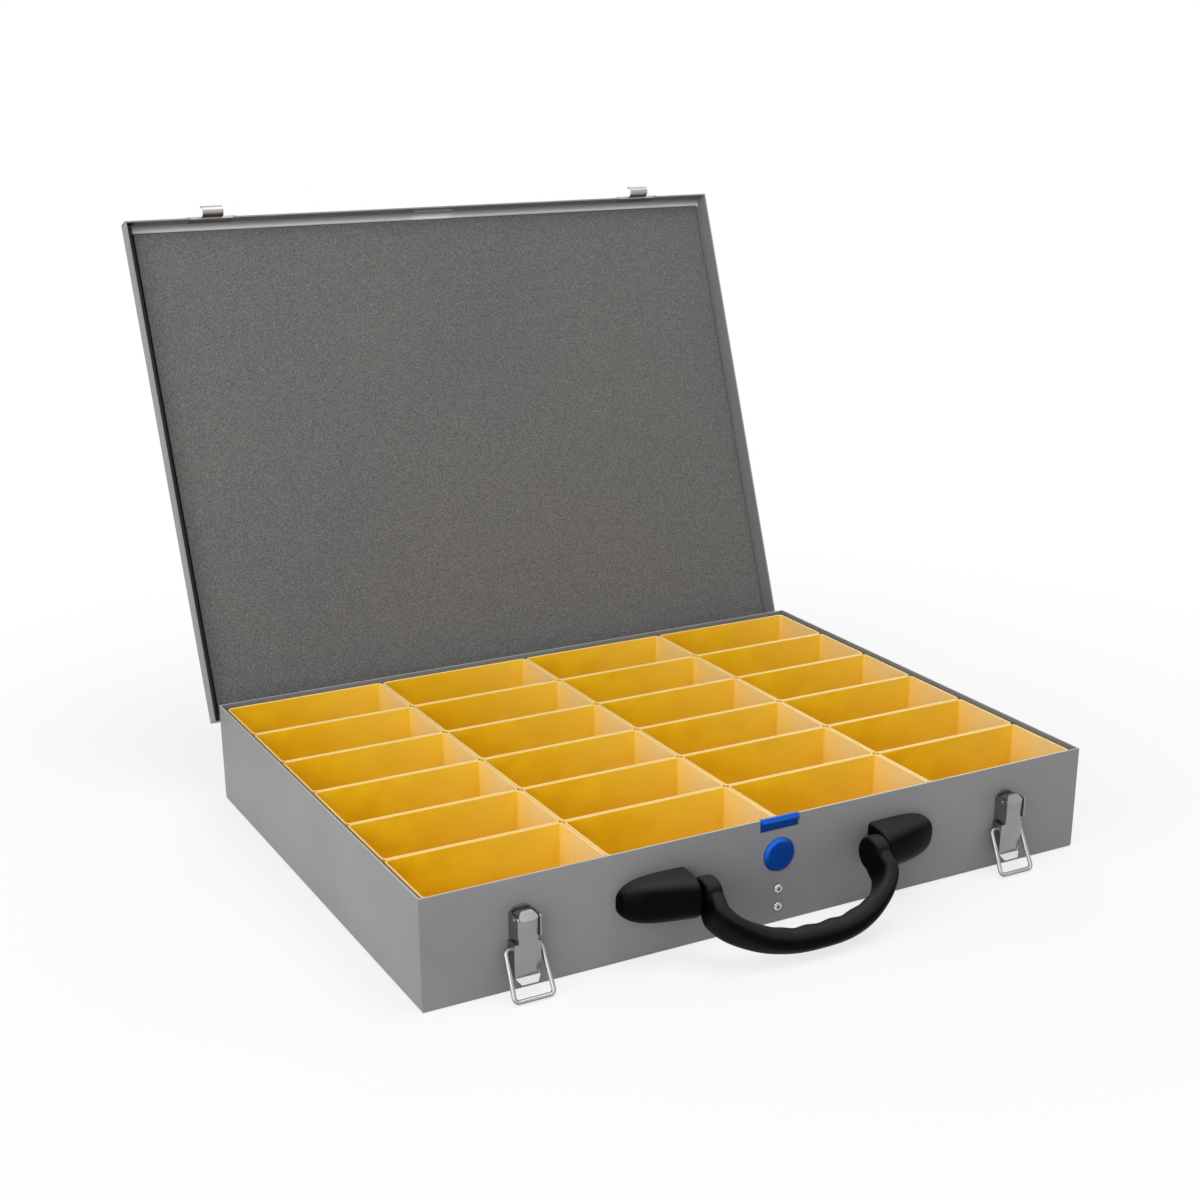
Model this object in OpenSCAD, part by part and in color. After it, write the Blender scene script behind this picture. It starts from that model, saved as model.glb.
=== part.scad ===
// Compartment organizer case: a folded sheet steel tray with a hinged lid, two toggle latches,
// a push-button centre lock, a swinging grip and a grid of lift-out bins.
// X runs to the right, the front faces -Y, and Z is up. The origin is the centre of the underside.
// The lid is drawn opened, as it stands when the case is in use.

/* [Case] */
// Width of the case
case_w = 440; // [380:1:520]
// Depth of the case, front to back
case_d = 330; // [280:1:400]
// Height of the case wall
case_h = 66; // [64:1:80]
// Thickness of the sheet steel
sheet_t = 1; // [0.8:0.1:1.2]
// Outer radius of the folds
bend_r = 1.5; // [1.4:0.1:3]
// Width of the butted corner seams
seam_w = 0.3; // [0.2:0.1:0.5]
// Depth of the butted corner seams
seam_depth = 0.5; // [0.3:0.1:0.6]

/* [Lid] */
// Gap between the lid skirt and the case wall
lid_fit = 0.5; // [0.4:0.1:1]
// Height of the lid skirt
lid_skirt = 12; // [11:0.5:14]
// Gap between the closed lid panel and the case rim
lid_gap = 1; // [0.6:0.1:2]
// Opening angle of the lid
lid_open = 110.5; // [95:0.5:120]
// Distance from the foam liner to the front and rear lid skirt
foam_inset = 5.2; // [5:0.1:10]
// Distance from the foam liner to the side skirts of the lid
foam_side = 3.2; // [3:0.1:10]
// Thickness of the foam liner
foam_t = 2.3; // [1.5:0.1:2.4]
// Corner radius of the foam liner
foam_r = 2; // [1:0.5:8]

/* [Hinges] */
// Distance from the side of the case to the middle of each hinge
hinge_inset = 90; // [60:1:150]
// Length of one hinge
hinge_l = 60; // [40:1:90]
// Thickness of the hinge leaves
leaf_t = 0.9; // [0.7:0.1:1]
// Diameter of the hinge pin
hinge_pin_d = 1.6; // [1.4:0.1:2]
// Running gap between the knuckles
knuckle_gap = 0.3; // [0.2:0.1:0.6]
// Height of the leaf plate on the case wall
leaf_h = 24; // [16:1:28]
// Distance from the lid rim down to the hinge axis
hinge_drop = 4.9; // [4.5:0.1:6]

/* [Bins] */
// Number of bins side by side
bin_cols = 4; // [2:1:4]
// Number of bins front to back
bin_rows = 6; // [2:1:6]
// Gap between neighbouring bins
bin_gap = 0.3; // [0.3:0.1:1]
// Gap between the outer bins and the case wall
bin_margin = 2.7; // [2.7:0.1:5]
// Distance from the case rim down to the bin rims
bin_drop = 1.85; // [1.8:0.05:6]
// Wall thickness of a bin
bin_wall = 1.4; // [1:0.1:2]
// Draft angle of the bin walls
bin_draft = 1; // [0:0.1:1.5]
// Outer corner radius at the foot of a bin
bin_r = 2.4; // [2.2:0.1:6]

/* [Toggle latches] */
// Distance from the side of the case to the middle of each latch
latch_inset = 57.3; // [30:0.1:80]
// Distance from the case rim down to the line from which the heights of a latch are measured
latch_foot = 66; // [64:0.5:66]
// Width over the two ears of the bracket
ear_span = 14; // [13:0.5:16]
// Thickness of the bracket and lever sheet
latch_t = 1; // [0.8:0.1:1.1]
// How far the ears stand out from the wall
ear_out = 11.4; // [11:0.1:13]
// Height of the lower edge of the ears above the foot line
ear_low = 32; // [31.5:0.1:33]
// How much the lower edge of the ears rises towards the front
ear_rise = 2.8; // [0:0.1:4]
// Height of the upper edge of the ears
ear_top = 47.3; // [47:0.1:48.5]
// Height of the top of the bracket plate
arch_top = 50.3; // [49:0.1:50.5]
// Distance of the lever pivot from the wall
pivot_out = 6.5; // [6.5:0.1:7]
// Height of the lever pivot
pivot_h = 44.9; // [44:0.1:45]
// Diameter of the lever pivot pin
latch_pin_d = 2.2; // [2:0.1:3]
// Radius of the rounded top of the lever
cap_r = 4.8; // [4:0.1:5]
// Width of the lever over its lower flanges
lever_w = 15.8; // [14:0.1:17]
// Distance of the bail pivot from the wall
bail_out = 3; // [3:0.1:4]
// Height of the bail pivot
bail_h = 26.7; // [26.5:0.1:28]
// Diameter of the bail wire
wire_d = 2.6; // [2:0.1:2.6]
// Length of the bail from its pivot to its crossbar
bail_l = 28; // [27.5:0.1:28.5]
// Distance between the middles of the bail's legs at the crossbar
bail_w = 23.2; // [20:0.1:26]
// Inner corner radius of the bail
bail_r = 1.4; // [1:0.1:3]
// Angle at which the bail leans out at rest
bail_lean = 28.2; // [24:0.1:40]
// Width of the catch tongue
catch_w = 14.2; // [8:0.1:15]
// Inner radius of the hooked catch
catch_r = 2.85; // [2:0.05:3]

/* [Handle] */
// Distance from the middle of the case to the inner end of each housing
housing_x = 61.7; // [58:0.1:70]
// Length of a housing
housing_l = 44; // [40:1:60]
// Height of a housing
housing_h = 27; // [26:0.5:32]
// Height of the middle of a housing above the base
housing_mid = 36; // [34:0.5:38]
// How far a housing stands out from the wall
housing_out = 21.5; // [21:0.5:24]
// Height of the grip pivot
grip_h = 37.2; // [35:0.1:38]
// Distance of the grip pivot from the wall
grip_out = 15; // [14:0.5:16]
// Distance from the grip pivot to the middle of the grip
grip_reach = 38.3; // [32:0.1:40]
// Width of the grip in the palm
grip_w = 15; // [12:0.5:18]
// Thickness of the grip in the palm
grip_t = 13; // [11:0.5:16]
// Diameter of the round knuckles of the grip
knuckle_d = 21.6; // [17:0.2:22]
// Length of the round knuckles of the grip
grip_knuckle_l = 10.4; // [10:0.1:14]
// Angle at which the grip hangs away from the wall
grip_lean = 48.1; // [45:0.1:60]
// Depth of the finger grooves
groove_depth = 0.9; // [0:0.1:1.5]
// Spacing of the finger grooves
groove_pitch = 17; // [14:0.5:22]
// Diameter of the grip pins
grip_pin_d = 5; // [4:0.5:6]

/* [Centre lock] */
// Width of the notch in the case rim
notch_w = 26; // [22:0.5:30]
// Depth of the notch in the case rim
notch_h = 7.5; // [7.5:0.1:8]
// Diameter of the button
button_d = 20; // [16:0.5:20]
// Height of the middle of the button
button_h = 43; // [42:0.5:44]
// How far the button stands out from the wall
button_out = 1.9; // [1.5:0.1:3]
// How far the hook stands out from the wall
hook_out = 1.2; // [1:0.1:1.4]
// Thickness of the moulded leaf
leaf_spring_t = 1; // [0.8:0.1:1.1]
// Height of the upper lock rivet
rivet_top_h = 21.6; // [20:0.1:22]
// Height of the lower lock rivet
rivet_low_h = 10.3; // [8:0.1:12]
// Diameter of the domed rivet heads
dome_d = 5.7; // [5:0.1:6.5]
// Diameter of the rivet shanks
rivet_d = 3; // [2.5:0.1:3.2]
// Diameter of the flat rivet heads
rivet_head_d = 5; // [4.5:0.1:5.5]

/* [Hidden] */
$fn = 48;
// Running clearance of parts that move past each other
run_gap = 0.3;
// Radial clearance of a pin in its hole
pin_fit = 0.05;
// Small overlap that keeps cuts clean
cut = 0.01;
front = -case_d / 2;
rear = case_d / 2;
hinge_x = case_w / 2 - hinge_inset;
latch_x = case_w / 2 - latch_inset;
latch_base = case_h - latch_foot;

// Closed heights of the lid
lid_rim = case_h + lid_gap + sheet_t - lid_skirt;
lid_top = lid_rim + lid_skirt;
lid_under = lid_top - sheet_t;
lid_w = case_w + 2 * (lid_fit + sheet_t);
lid_d = case_d + 2 * (lid_fit + sheet_t);

// Hinge axis: the knuckles are tangent to the outer face of the lid skirt
knuckle_r = hinge_pin_d / 2 + leaf_t;
hinge_out = lid_fit + sheet_t + knuckle_r;
hinge_y = rear + hinge_out;
hinge_z = lid_rim - hinge_drop;
knuckle_l = hinge_l / 3;
// The straps meet their knuckles a little inside the tangent, so that the two faces cross
strap_in = 0.04;
strap_out = hinge_out - knuckle_r + strap_in;
strap_t = leaf_t - strap_in;
// Each strap ends in the wall of its knuckle, clear of the bore: distances of its two corners from the axis
root_outer = 0.2;
root_inner = 0.6;
leaf_drop = 3.9;
leaf_top = hinge_z - leaf_drop;
leaf_low = leaf_top - leaf_h;
// The base leaf's straps swing out over this height; the stop tail of the lid leaf swings in over its own
strap_rise = 3;
stop_l = 5.5;
stop_start = 3;
// Pressed dimples of the spot welds
weld_d = 4;
weld_dip = 0.2;

// Bin grid
grid_w = case_w - 2 * sheet_t - 2 * bin_margin;
grid_d = case_d - 2 * sheet_t - 2 * bin_margin;
bin_w = (grid_w - (bin_cols - 1) * bin_gap) / bin_cols;
bin_d = (grid_d - (bin_rows - 1) * bin_gap) / bin_rows;
bin_h = case_h - sheet_t - bin_drop;
bin_flare = bin_h * tan(bin_draft);

// Lever: its cap turns about the pivot between the ears
lever_top_half = ear_span / 2 - latch_t - 0.35;
lever_low_half = lever_w / 2;
shoulder_h = ear_low - 0.8;
panel_low = 13.6;
panel_out = cap_r + pivot_out - 2.4;
panel_step = 0.6;
knee_out = panel_out - panel_step - 0.1;
knee_h = 11.2;
foot_depth = 2.3;
foot_drop = 1.2;
tip_out = knee_out + 2.5;
tip_h = 8.3;
lip_top_half = 7;
lip_low_half = 4.7;
flange_back = 0.6;
flange_low = 23;
face_top_half = 3;
face_low_half = 4.6;
// The facet on top of the cap: the tilt of its normal, and half the angle it takes from the round
facet_tilt = 42.5;
facet_half = 37.5;
bracket_rivet_h = [24, 38];
tongue_half = 4;

// Bail: its ends reach a little way through the lever flanges
leg_x = bail_w / 2;
bail_end = lever_low_half - latch_t - 1;
bail_turn_r = bail_r + wire_d / 2;
bail_turn_x = lever_low_half + 0.1;
// Each straight length of the wire runs a little into its bends, which are drawn a hair thinner
wire_lap = 0.1;
bend_d = wire_d - 0.02;
bail_splay = atan((leg_x - bail_turn_r - bail_turn_x) / (bail_l - 2 * bail_turn_r));

// Catch on the lid: its seat takes the crossbar of the latched bail
catch_t = leaf_t;
skirt_out = lid_fit + sheet_t;
catch_mid_out = skirt_out + catch_t + catch_r;
bar_rise = sqrt(pow(bail_l, 2) - pow(catch_mid_out - bail_out, 2));
catch_play = 0.15;
catch_seat = latch_base + bail_h + bar_rise - wire_d / 2 - catch_play;
catch_mid_h = catch_seat + catch_r;
window_w = 30;
window_top = lid_under - 0.5;
pad_low = lid_rim + 0.8;
plate_low = pad_low + 0.4;
plate_w = 34;

// Centre lock
wall_in = front + sheet_t;
lock_half = 9;
lock_foot_h = rivet_low_h - 4.5;
lock_root_h = rivet_top_h + 5.9;
shoulder_drop = 4;
hook_half = notch_w / 2 - 0.4;
slot_w = 30;
slot_low = case_h - 4.2;
slot_top = case_h - 0.8;
notch_floor = case_h - notch_h;

function bin_name(c, r) = str("bin_", c + 1, "_", r + 1);

// Helpers: a flat (y, z) outline drawn out along X, and a flat (x, z) outline drawn out along Y
module along_x(x0, x1) {
    translate([x0, 0, 0])
        rotate([90, 0, 90])
            linear_extrude(x1 - x0)
                children();
}

module along_y(y0, y1) {
    translate([0, y1, 0])
        rotate([90, 0, 0])
            linear_extrude(y1 - y0)
                children();
}

// A round bar along X, and one along Y
module bar_x(x0, x1, d, y, z) {
    translate([x0, y, z])
        rotate([0, 90, 0])
            cylinder(h = x1 - x0, d = d);
}

module bar_y(y0, y1, d, x, z) {
    translate([x, y1, z])
        rotate([90, 0, 0])
            cylinder(h = y1 - y0, d = d);
}

// Turns what is drawn for the closed lid to its open place
module opened() {
    translate([0, hinge_y, hinge_z])
        rotate([-lid_open, 0, 0])
            translate([0, -hinge_y, -hinge_z])
                children();
}

// Tray section: a rectangle whose two lower corners are folds
module fold_section(w, h, r) {
    translate([-w / 2, r])
        square([w, h - r]);
    translate([r - w / 2, 0])
        square([w - 2 * r, h]);
    for (s = [-1, 1])
        translate([s * (w / 2 - r), r])
            circle(r);
}

module fold_block(w, d, h, r) {
    intersection() {
        along_x(-w / 2, w / 2)
            fold_section(d, h, r);
        along_y(-d / 2, d / 2)
            fold_section(w, h, r);
    }
}

module folded_tray(w, d, h) {
    difference() {
        fold_block(w, d, h, bend_r);
        translate([0, 0, sheet_t])
            fold_block(w - 2 * sheet_t, d - 2 * sheet_t, h, bend_r - sheet_t);
        for (sx = [-1, 1])
            for (sy = [-1, 1])
                translate([sx * w / 2, sy * (d / 2 - sheet_t), h / 2 + bend_r])
                    cube([2 * seam_depth, seam_w, h], center = true);
    }
}

// Case
module case_base() {
    color("#7f8082")
        difference() {
            folded_tray(case_w, case_d, case_h);
            translate([-notch_w / 2, front - 1, notch_floor])
                cube([notch_w, sheet_t + 2, notch_h + 1]);
            bar_y(front - 1, wall_in + 1, button_d + 2 * run_gap, 0, button_h);
            for (z = [rivet_low_h, rivet_top_h])
                bar_y(front - 1, wall_in + 1, rivet_d + 2 * pin_fit, 0, z);
            for (s = [-1, 1]) {
                for (z = bracket_rivet_h)
                    bar_y(front - 1, wall_in + 1, rivet_d + 2 * pin_fit, s * latch_x, latch_base + z);
                for (p = housing_rivets)
                    bar_y(front - 1, wall_in + 1, rivet_d + 2 * pin_fit, s * p[0], p[1]);
            }
        }
}

// Lid, drawn closed and turned open: a shallow tray with its open side down
module lid_shell() {
    color("#7f8082")
        opened()
            difference() {
                translate([0, 0, lid_top])
                    mirror([0, 0, 1])
                        folded_tray(lid_w, lid_d, lid_skirt);
                translate([-slot_w / 2, -lid_d / 2 - 1, slot_low])
                    cube([slot_w, sheet_t + 2, slot_top - slot_low]);
                for (s = [-1, 1])
                    translate([s * latch_x - window_w / 2, -lid_d / 2 - 1, lid_rim - 1])
                        cube([window_w, sheet_t + 2, window_top - lid_rim + 1]);
            }
}

module lid_foam() {
    foam_w = lid_w - 2 * (sheet_t + foam_side);
    foam_d = lid_d - 2 * (sheet_t + foam_inset);
    color("#5b5b59")
        opened()
            translate([0, 0, lid_under - foam_t])
                linear_extrude(foam_t)
                    rounded_plate(foam_w, foam_d, foam_r);
}

module rounded_plate(w, d, r) {
    square([w, d - 2 * r], center = true);
    square([w - 2 * r, d], center = true);
    for (sx = [-1, 1])
        for (sy = [-1, 1])
            translate([sx * (w / 2 - r), sy * (d / 2 - r)])
                circle(r);
}

// Hinges. Outlines are (distance from the rear wall, height).
module leaf_bore(x0, x1) {
    bar_x(x0, x1, hinge_pin_d + 2 * pin_fit, hinge_y, hinge_z);
}

module hinge_base_leaf(x) {
    color("#6f7072")
        difference() {
            union() {
                along_x(x - hinge_l / 2, x + hinge_l / 2)
                    translate([rear, leaf_low])
                        square([leaf_t, leaf_h]);
                for (mid = [x - knuckle_l, x + knuckle_l])
                    along_x(mid - knuckle_l / 2, mid + knuckle_l / 2) {
                        translate([rear, 0])
                            polygon([
                                [0, leaf_top - strap_rise],
                                [leaf_t, leaf_top - strap_rise],
                                [strap_out + strap_t, leaf_top],
                                [strap_out + strap_t, hinge_z - root_inner],
                                [strap_out, hinge_z - root_outer],
                                [strap_out, leaf_top + 0.3],
                                [0, leaf_top - strap_rise + 0.4]
                            ]);
                        translate([hinge_y, hinge_z])
                            circle(knuckle_r);
                    }
            }
            leaf_bore(x - hinge_l, x + hinge_l);
            for (s = [-1, 1])
                translate([0, rear + leaf_t - weld_dip, 0])
                    bar_y(0, 2 * weld_dip, weld_d, x + s * hinge_l / 3, leaf_low + leaf_h / 3);
        }
}

module hinge_lid_leaf(x) {
    tangent = lid_d / 2;
    half = knuckle_l / 2 - knuckle_gap;
    color("#6f7072")
        difference() {
            union() {
                opened() {
                    along_x(x - hinge_l / 2, x + hinge_l / 2)
                        translate([tangent, lid_rim])
                            square([leaf_t, lid_skirt - bend_r]);
                    along_x(x - half, x + half) {
                        translate([rear + strap_out, hinge_z])
                            polygon([
                                [0, root_outer],
                                [0, hinge_drop + cut],
                                [strap_t, hinge_drop + cut],
                                [strap_t, root_inner]
                            ]);
                        translate([hinge_y, hinge_z])
                            circle(knuckle_r);
                    }
                }
                along_x(x - half, x + half)
                    translate([rear, 0])
                        polygon([
                            [strap_out, hinge_z - root_outer],
                            [strap_out + strap_t, hinge_z - root_inner],
                            [strap_out + strap_t, hinge_z - stop_start],
                            [leaf_t + run_gap + leaf_t, hinge_z - stop_l],
                            [leaf_t + run_gap, hinge_z - stop_l],
                            [strap_out, hinge_z - stop_start + 0.2]
                        ]);
            }
            leaf_bore(x - hinge_l, x + hinge_l);
        }
}

module hinge_pin(x) {
    color("#b9babc")
        bar_x(x - hinge_l / 2, x + hinge_l / 2, hinge_pin_d, hinge_y, hinge_z);
}

// Toggle latches. Everything below is drawn about the wall face: y = 0 is the wall, -y points out.
module at_latch(x) {
    translate([x, front, latch_base])
        children();
}

module latch_bracket(x) {
    arch_rise = arch_top - ear_top;
    arch_r = (pow(ear_span / 2, 2) + pow(arch_rise, 2)) / (2 * arch_rise);
    edge_r = 1.5;
    color("#8a8c8f")
        at_latch(x)
            difference() {
                union() {
                    along_y(-latch_t, 0) {
                        intersection() {
                            translate([0, arch_top - arch_r])
                                circle(arch_r, $fn = 96);
                            translate([-ear_span / 2, ear_low])
                                square([ear_span, arch_top - ear_low]);
                        }
                        translate([-tongue_half, bracket_rivet_h[0]])
                            square([2 * tongue_half, ear_low - bracket_rivet_h[0] + cut]);
                        translate([0, bracket_rivet_h[0]])
                            circle(tongue_half);
                    }
                    for (s = [0, 1])
                        mirror([s, 0, 0])
                            along_x(ear_span / 2 - latch_t, ear_span / 2) {
                                polygon([
                                    [0, ear_low],
                                    [0, ear_top],
                                    [edge_r - ear_out, ear_top],
                                    [-ear_out, ear_top - edge_r],
                                    [-ear_out, ear_low + ear_rise + edge_r],
                                    [edge_r - ear_out, ear_low + ear_rise]
                                ]);
                                for (z = [ear_low + ear_rise + edge_r, ear_top - edge_r])
                                    translate([edge_r - ear_out, z])
                                        circle(edge_r);
                            }
                }
                bar_x(-ear_span, ear_span, latch_pin_d + 2 * pin_fit, -pivot_out, pivot_h);
                for (z = bracket_rivet_h)
                    bar_y(-latch_t - 1, 1, rivet_d + 2 * pin_fit, 0, z);
            }
}

// Solid form of the lever, shrunk by t for its hollow. The hollow is open towards the wall.
module lever_form(t, open_back) {
    inside_wall = -3;
    back_top = open_back ? inside_wall : pivot_out - cap_r;
    back_low = open_back ? inside_wall : flange_back;
    intersection() {
        along_x(-ear_span, ear_span) {
            translate([-pivot_out, pivot_h])
                intersection() {
                    circle(cap_r - t);
                    rotate(-facet_tilt)
                        translate([t - cap_r * cos(facet_half), -cap_r])
                            square([2 * cap_r, 2 * cap_r]);
                }
            polygon([
                [-(pivot_out + cap_r - t), pivot_h],
                [-(panel_out - t), panel_low + t],
                [-(panel_out - panel_step - t), panel_low - panel_step + t],
                [-(knee_out - t), knee_h + t],
                [-(knee_out - foot_depth), knee_h + t - foot_drop],
                [-back_low, flange_low + 2 * t],
                [-back_low, shoulder_h],
                [-back_top, shoulder_h],
                [-back_top, pivot_h - t],
                [-(pivot_out - cap_r + t), pivot_h]
            ]);
        }
        along_y(-2 * ear_out, ear_out)
            polygon([
                for (s = [-1, 1])
                    each mirrored_side(s, [
                        [lever_top_half - 3 - t / 2, pivot_h + 2 * cap_r],
                        [lever_top_half - 3 - t / 2, pivot_h + cap_r - t],
                        [lever_top_half - 1.6 - t, pivot_h + cap_r - 0.9 - t],
                        [lever_top_half - 0.4 - t, pivot_h + cap_r - 2.4 - t],
                        [lever_top_half - t, pivot_h - t],
                        [lever_top_half - t, shoulder_h + 0.6],
                        [lever_low_half - t, shoulder_h],
                        [lever_low_half - t, flange_low],
                        [lip_top_half + 0.5 - t, knee_h + 1],
                        [lip_top_half - 0.3 - t, knee_h - 2]
                    ])
            ]);
        lever_faces(t);
    }
}

// What the two shallow side faces of the front leave of a block
module lever_faces(t) {
    face_l = pivot_h - panel_low;
    tilt = atan((cap_r + pivot_out - panel_out) / face_l);
    spread = atan((face_low_half - face_top_half) / face_l);
    tall = 2 * face_l;
    difference() {
        translate([-ear_span, -2 * ear_out, 0])
            cube([2 * ear_span, 3 * ear_out, tall]);
        for (s = [0, 1])
            mirror([s, 0, 0])
                translate([face_top_half - 0.2 * t, t - pivot_out - cap_r, pivot_h])
                    rotate([tilt, -spread, 0])
                        translate([0, 0, -tall])
                            linear_extrude(2 * tall)
                                polygon([[0, 0], [8, 2.6], [10, -4], [0, -4]]);
    }
}

// Points of one side of an outline, downwards on the right and upwards on the left
function mirrored_side(s, pts) =
    s > 0 ? [for (i = [len(pts) - 1:-1:0]) [pts[i][0], pts[i][1]]] : [for (p = pts) [-p[0], p[1]]];

// Finger lip at the foot of the lever: it turns out and narrows towards its tip
module finger_lip() {
    intersection() {
        along_x(-lip_top_half, lip_top_half)
            polygon([
                [-knee_out, knee_h + 0.3],
                [-tip_out, tip_h],
                [-(tip_out - 0.7), tip_h - 0.7],
                [-(knee_out - latch_t), knee_h - 1]
            ]);
        along_y(-2 * ear_out, 0)
            polygon([
                for (s = [-1, 1])
                    each mirrored_side(s, [
                        [lip_top_half, knee_h + 1],
                        [lip_top_half, knee_h - 0.3],
                        [lip_low_half, tip_h - 0.2],
                        [lip_low_half - 0.6, tip_h - 1]
                    ])
            ]);
    }
}

module latch_lever(x) {
    color("#9a9b9d")
        at_latch(x)
            difference() {
                union() {
                    difference() {
                        lever_form(0, false);
                        lever_form(latch_t, true);
                    }
                    finger_lip();
                }
                bar_x(-ear_span, ear_span, latch_pin_d + 2 * pin_fit, -pivot_out, pivot_h);
                bar_x(-ear_span, ear_span, wire_d + 2 * pin_fit, -bail_out, bail_h);
            }
}

module latch_pin(x) {
    head_t = 0.4;
    head_d = latch_pin_d + 0.8;
    color("#d5d6d8")
        at_latch(x) {
            bar_x(-ear_span / 2 - head_t, ear_span / 2 + head_t, latch_pin_d, -pivot_out, pivot_h);
            for (s = [0, 1])
                mirror([s, 0, 0])
                    bar_x(ear_span / 2, ear_span / 2 + head_t, head_d, -pivot_out, pivot_h);
        }
}

// Wire bail: drawn hanging down from its pivot, its legs splayed, then leaned out
module wire_bend(angle) {
    rotate([90, 0, 0])
        rotate_extrude(angle = angle)
            translate([bail_turn_r, 0])
                circle(d = bend_d);
}

module latch_bail(x) {
    low_x = leg_x - bail_turn_r;
    leg_l = (bail_l - 2 * bail_turn_r) / cos(bail_splay);
    color("#d5d6d8")
        at_latch(x)
            translate([0, -bail_out, bail_h])
                rotate([-bail_lean, 0, 0]) {
                    bar_x(-low_x - wire_lap, low_x + wire_lap, wire_d, 0, -bail_l);
                    for (s = [0, 1])
                        mirror([s, 0, 0]) {
                            bar_x(bail_end, bail_turn_x + wire_lap, wire_d, 0, 0);
                            translate([bail_turn_x, 0, -bail_turn_r])
                                rotate([0, -bail_splay, 0])
                                    wire_bend(90 - bail_splay);
                            translate([low_x, 0, bail_turn_r - bail_l])
                                rotate([0, -bail_splay, 0]) {
                                    translate([bail_turn_r, 0, -wire_lap])
                                        cylinder(h = leg_l + 2 * wire_lap, d = wire_d);
                                    mirror([0, 0, 1])
                                        wire_bend(90 + bail_splay);
                                }
                        }
                }
}

// Hooked catch on the front skirt of the lid: a welded plate, a flush pad in the skirt window
// and a tongue that curls out into a hook
module lid_catch(x) {
    color("#c9cacc")
        opened()
            translate([x, front, 0]) {
                along_y(-skirt_out - catch_t, -skirt_out)
                    translate([-plate_w / 2, plate_low])
                        square([plate_w, lid_top - bend_r - plate_low]);
                along_y(-skirt_out, -lid_fit)
                    translate([-window_w / 2 + run_gap, pad_low])
                        square([window_w - 2 * run_gap, window_top - run_gap - pad_low]);
                along_x(-catch_w / 2, catch_w / 2) {
                    translate([-skirt_out - catch_t, catch_mid_h])
                        square([catch_t, lid_skirt / 2]);
                    difference() {
                        translate([-catch_mid_out, catch_mid_h])
                            circle(catch_r + catch_t);
                        translate([-catch_mid_out, catch_mid_h])
                            circle(catch_r);
                        translate([-catch_mid_out - 3 * catch_r, catch_mid_h])
                            square([6 * catch_r, 3 * catch_r]);
                    }
                    translate([-catch_mid_out - catch_r - catch_t, catch_mid_h])
                        square([catch_t, 1]);
                }
            }
}

// Flat-headed rivets through the front wall: y0 is the outer end, a head on each side
module wall_rivet(x, z, y0) {
    head_t = 0.9;
    bar_y(y0, wall_in + head_t, rivet_d, x, z);
    bar_y(wall_in, wall_in + head_t, rivet_head_d, x, z);
}

module latch_rivets() {
    outer_head_t = 0.8;
    color("#b9babc")
        for (s = [-1, 1])
            for (h = bracket_rivet_h) {
                z = latch_base + h;
                wall_rivet(s * latch_x, z, front - latch_t);
                bar_y(front - latch_t - outer_head_t, front - latch_t, rivet_head_d, s * latch_x, z);
            }
}

// Each grip pin runs this far into the knuckle, and this far into the housing
pin_in = grip_knuckle_l - 2.6;
pin_out = 9.8;

// Handle housings: a half-oval section carried along X that narrows to a rounded nose
housing_rings = 24;
housing_sides = 24;
housing_taper = 10;
housing_end_r = 2.5;
// The housing's rivets are set this deep into it
housing_seat = 3.8;
housing_rivets = [[housing_x + 14, housing_mid + 0.5], [housing_x + 30, housing_mid + 1]];

function bell(u, a, b) = pow(1 - pow(u, a), 1 / b);
function signed_pow(v, e) = sign(v) * pow(abs(v), e);

function housing_ring(u) =
    let (
        inset = max(0, 1 - u * housing_l / housing_end_r),
        rounding = housing_end_r * (1 - sqrt(1 - inset * inset)),
        half_h = housing_h / 2 * bell(u, 4.5, 2.4) - rounding,
        depth = (housing_out - housing_taper * u) * bell(u, 6, 2.5) - rounding,
        x = housing_x + housing_l * u
    )
    [for (j = [0:housing_sides - 1])
        let (a = 180 * j / (housing_sides - 1))
        [x, -depth * signed_pow(sin(a), 0.62), housing_mid + u + half_h * signed_pow(cos(a), 0.8)]];

// Rings lie closer together at both ends of a housing
function housing_place(v) = 0.5 - 0.5 * cos(180 * v);

// Closed skin over a row of rings with the same number of points
module skin(rings) {
    n = len(rings[0]);
    last = len(rings) - 1;
    points = [for (ring = rings) each ring];
    sides = [for (i = [0:last - 1])
        for (j = [0:n - 1])
            let (a = i * n + j, b = i * n + (j + 1) % n)
            each [[a, b + n, b], [a, a + n, b + n]]];
    first_cap = [[for (j = [0:n - 1]) j]];
    last_cap = [[for (j = [n - 1:-1:0]) last * n + j]];
    polyhedron(points, concat(sides, first_cap, last_cap), convexity = 4);
}

module housing_right() {
    difference() {
        translate([0, front, 0])
            skin([for (i = [0:housing_rings]) housing_ring(0.995 * housing_place(i / housing_rings))]);
        bar_x(housing_x - 1, housing_x + pin_out + 0.2, grip_pin_d + 2 * pin_fit, front - grip_out, grip_h);
        for (p = housing_rivets)
            bar_y(front - housing_seat - 0.2, front + 1, rivet_d + 2 * pin_fit, p[0], p[1]);
    }
}

module handle_housing(side) {
    color("#1c1c1d")
        mirror([side < 0 ? 1 : 0, 0, 0])
            housing_right();
}

module handle_pin(side) {
    color("#b9babc")
        mirror([side < 0 ? 1 : 0, 0, 0])
            bar_x(housing_x - pin_in, housing_x + pin_out, grip_pin_d, front - grip_out, grip_h);
}

module handle_rivets() {
    color("#b9babc")
        for (s = [-1, 1])
            for (p = housing_rivets)
                wall_rivet(s * p[0], p[1], front - housing_seat);
}

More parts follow.
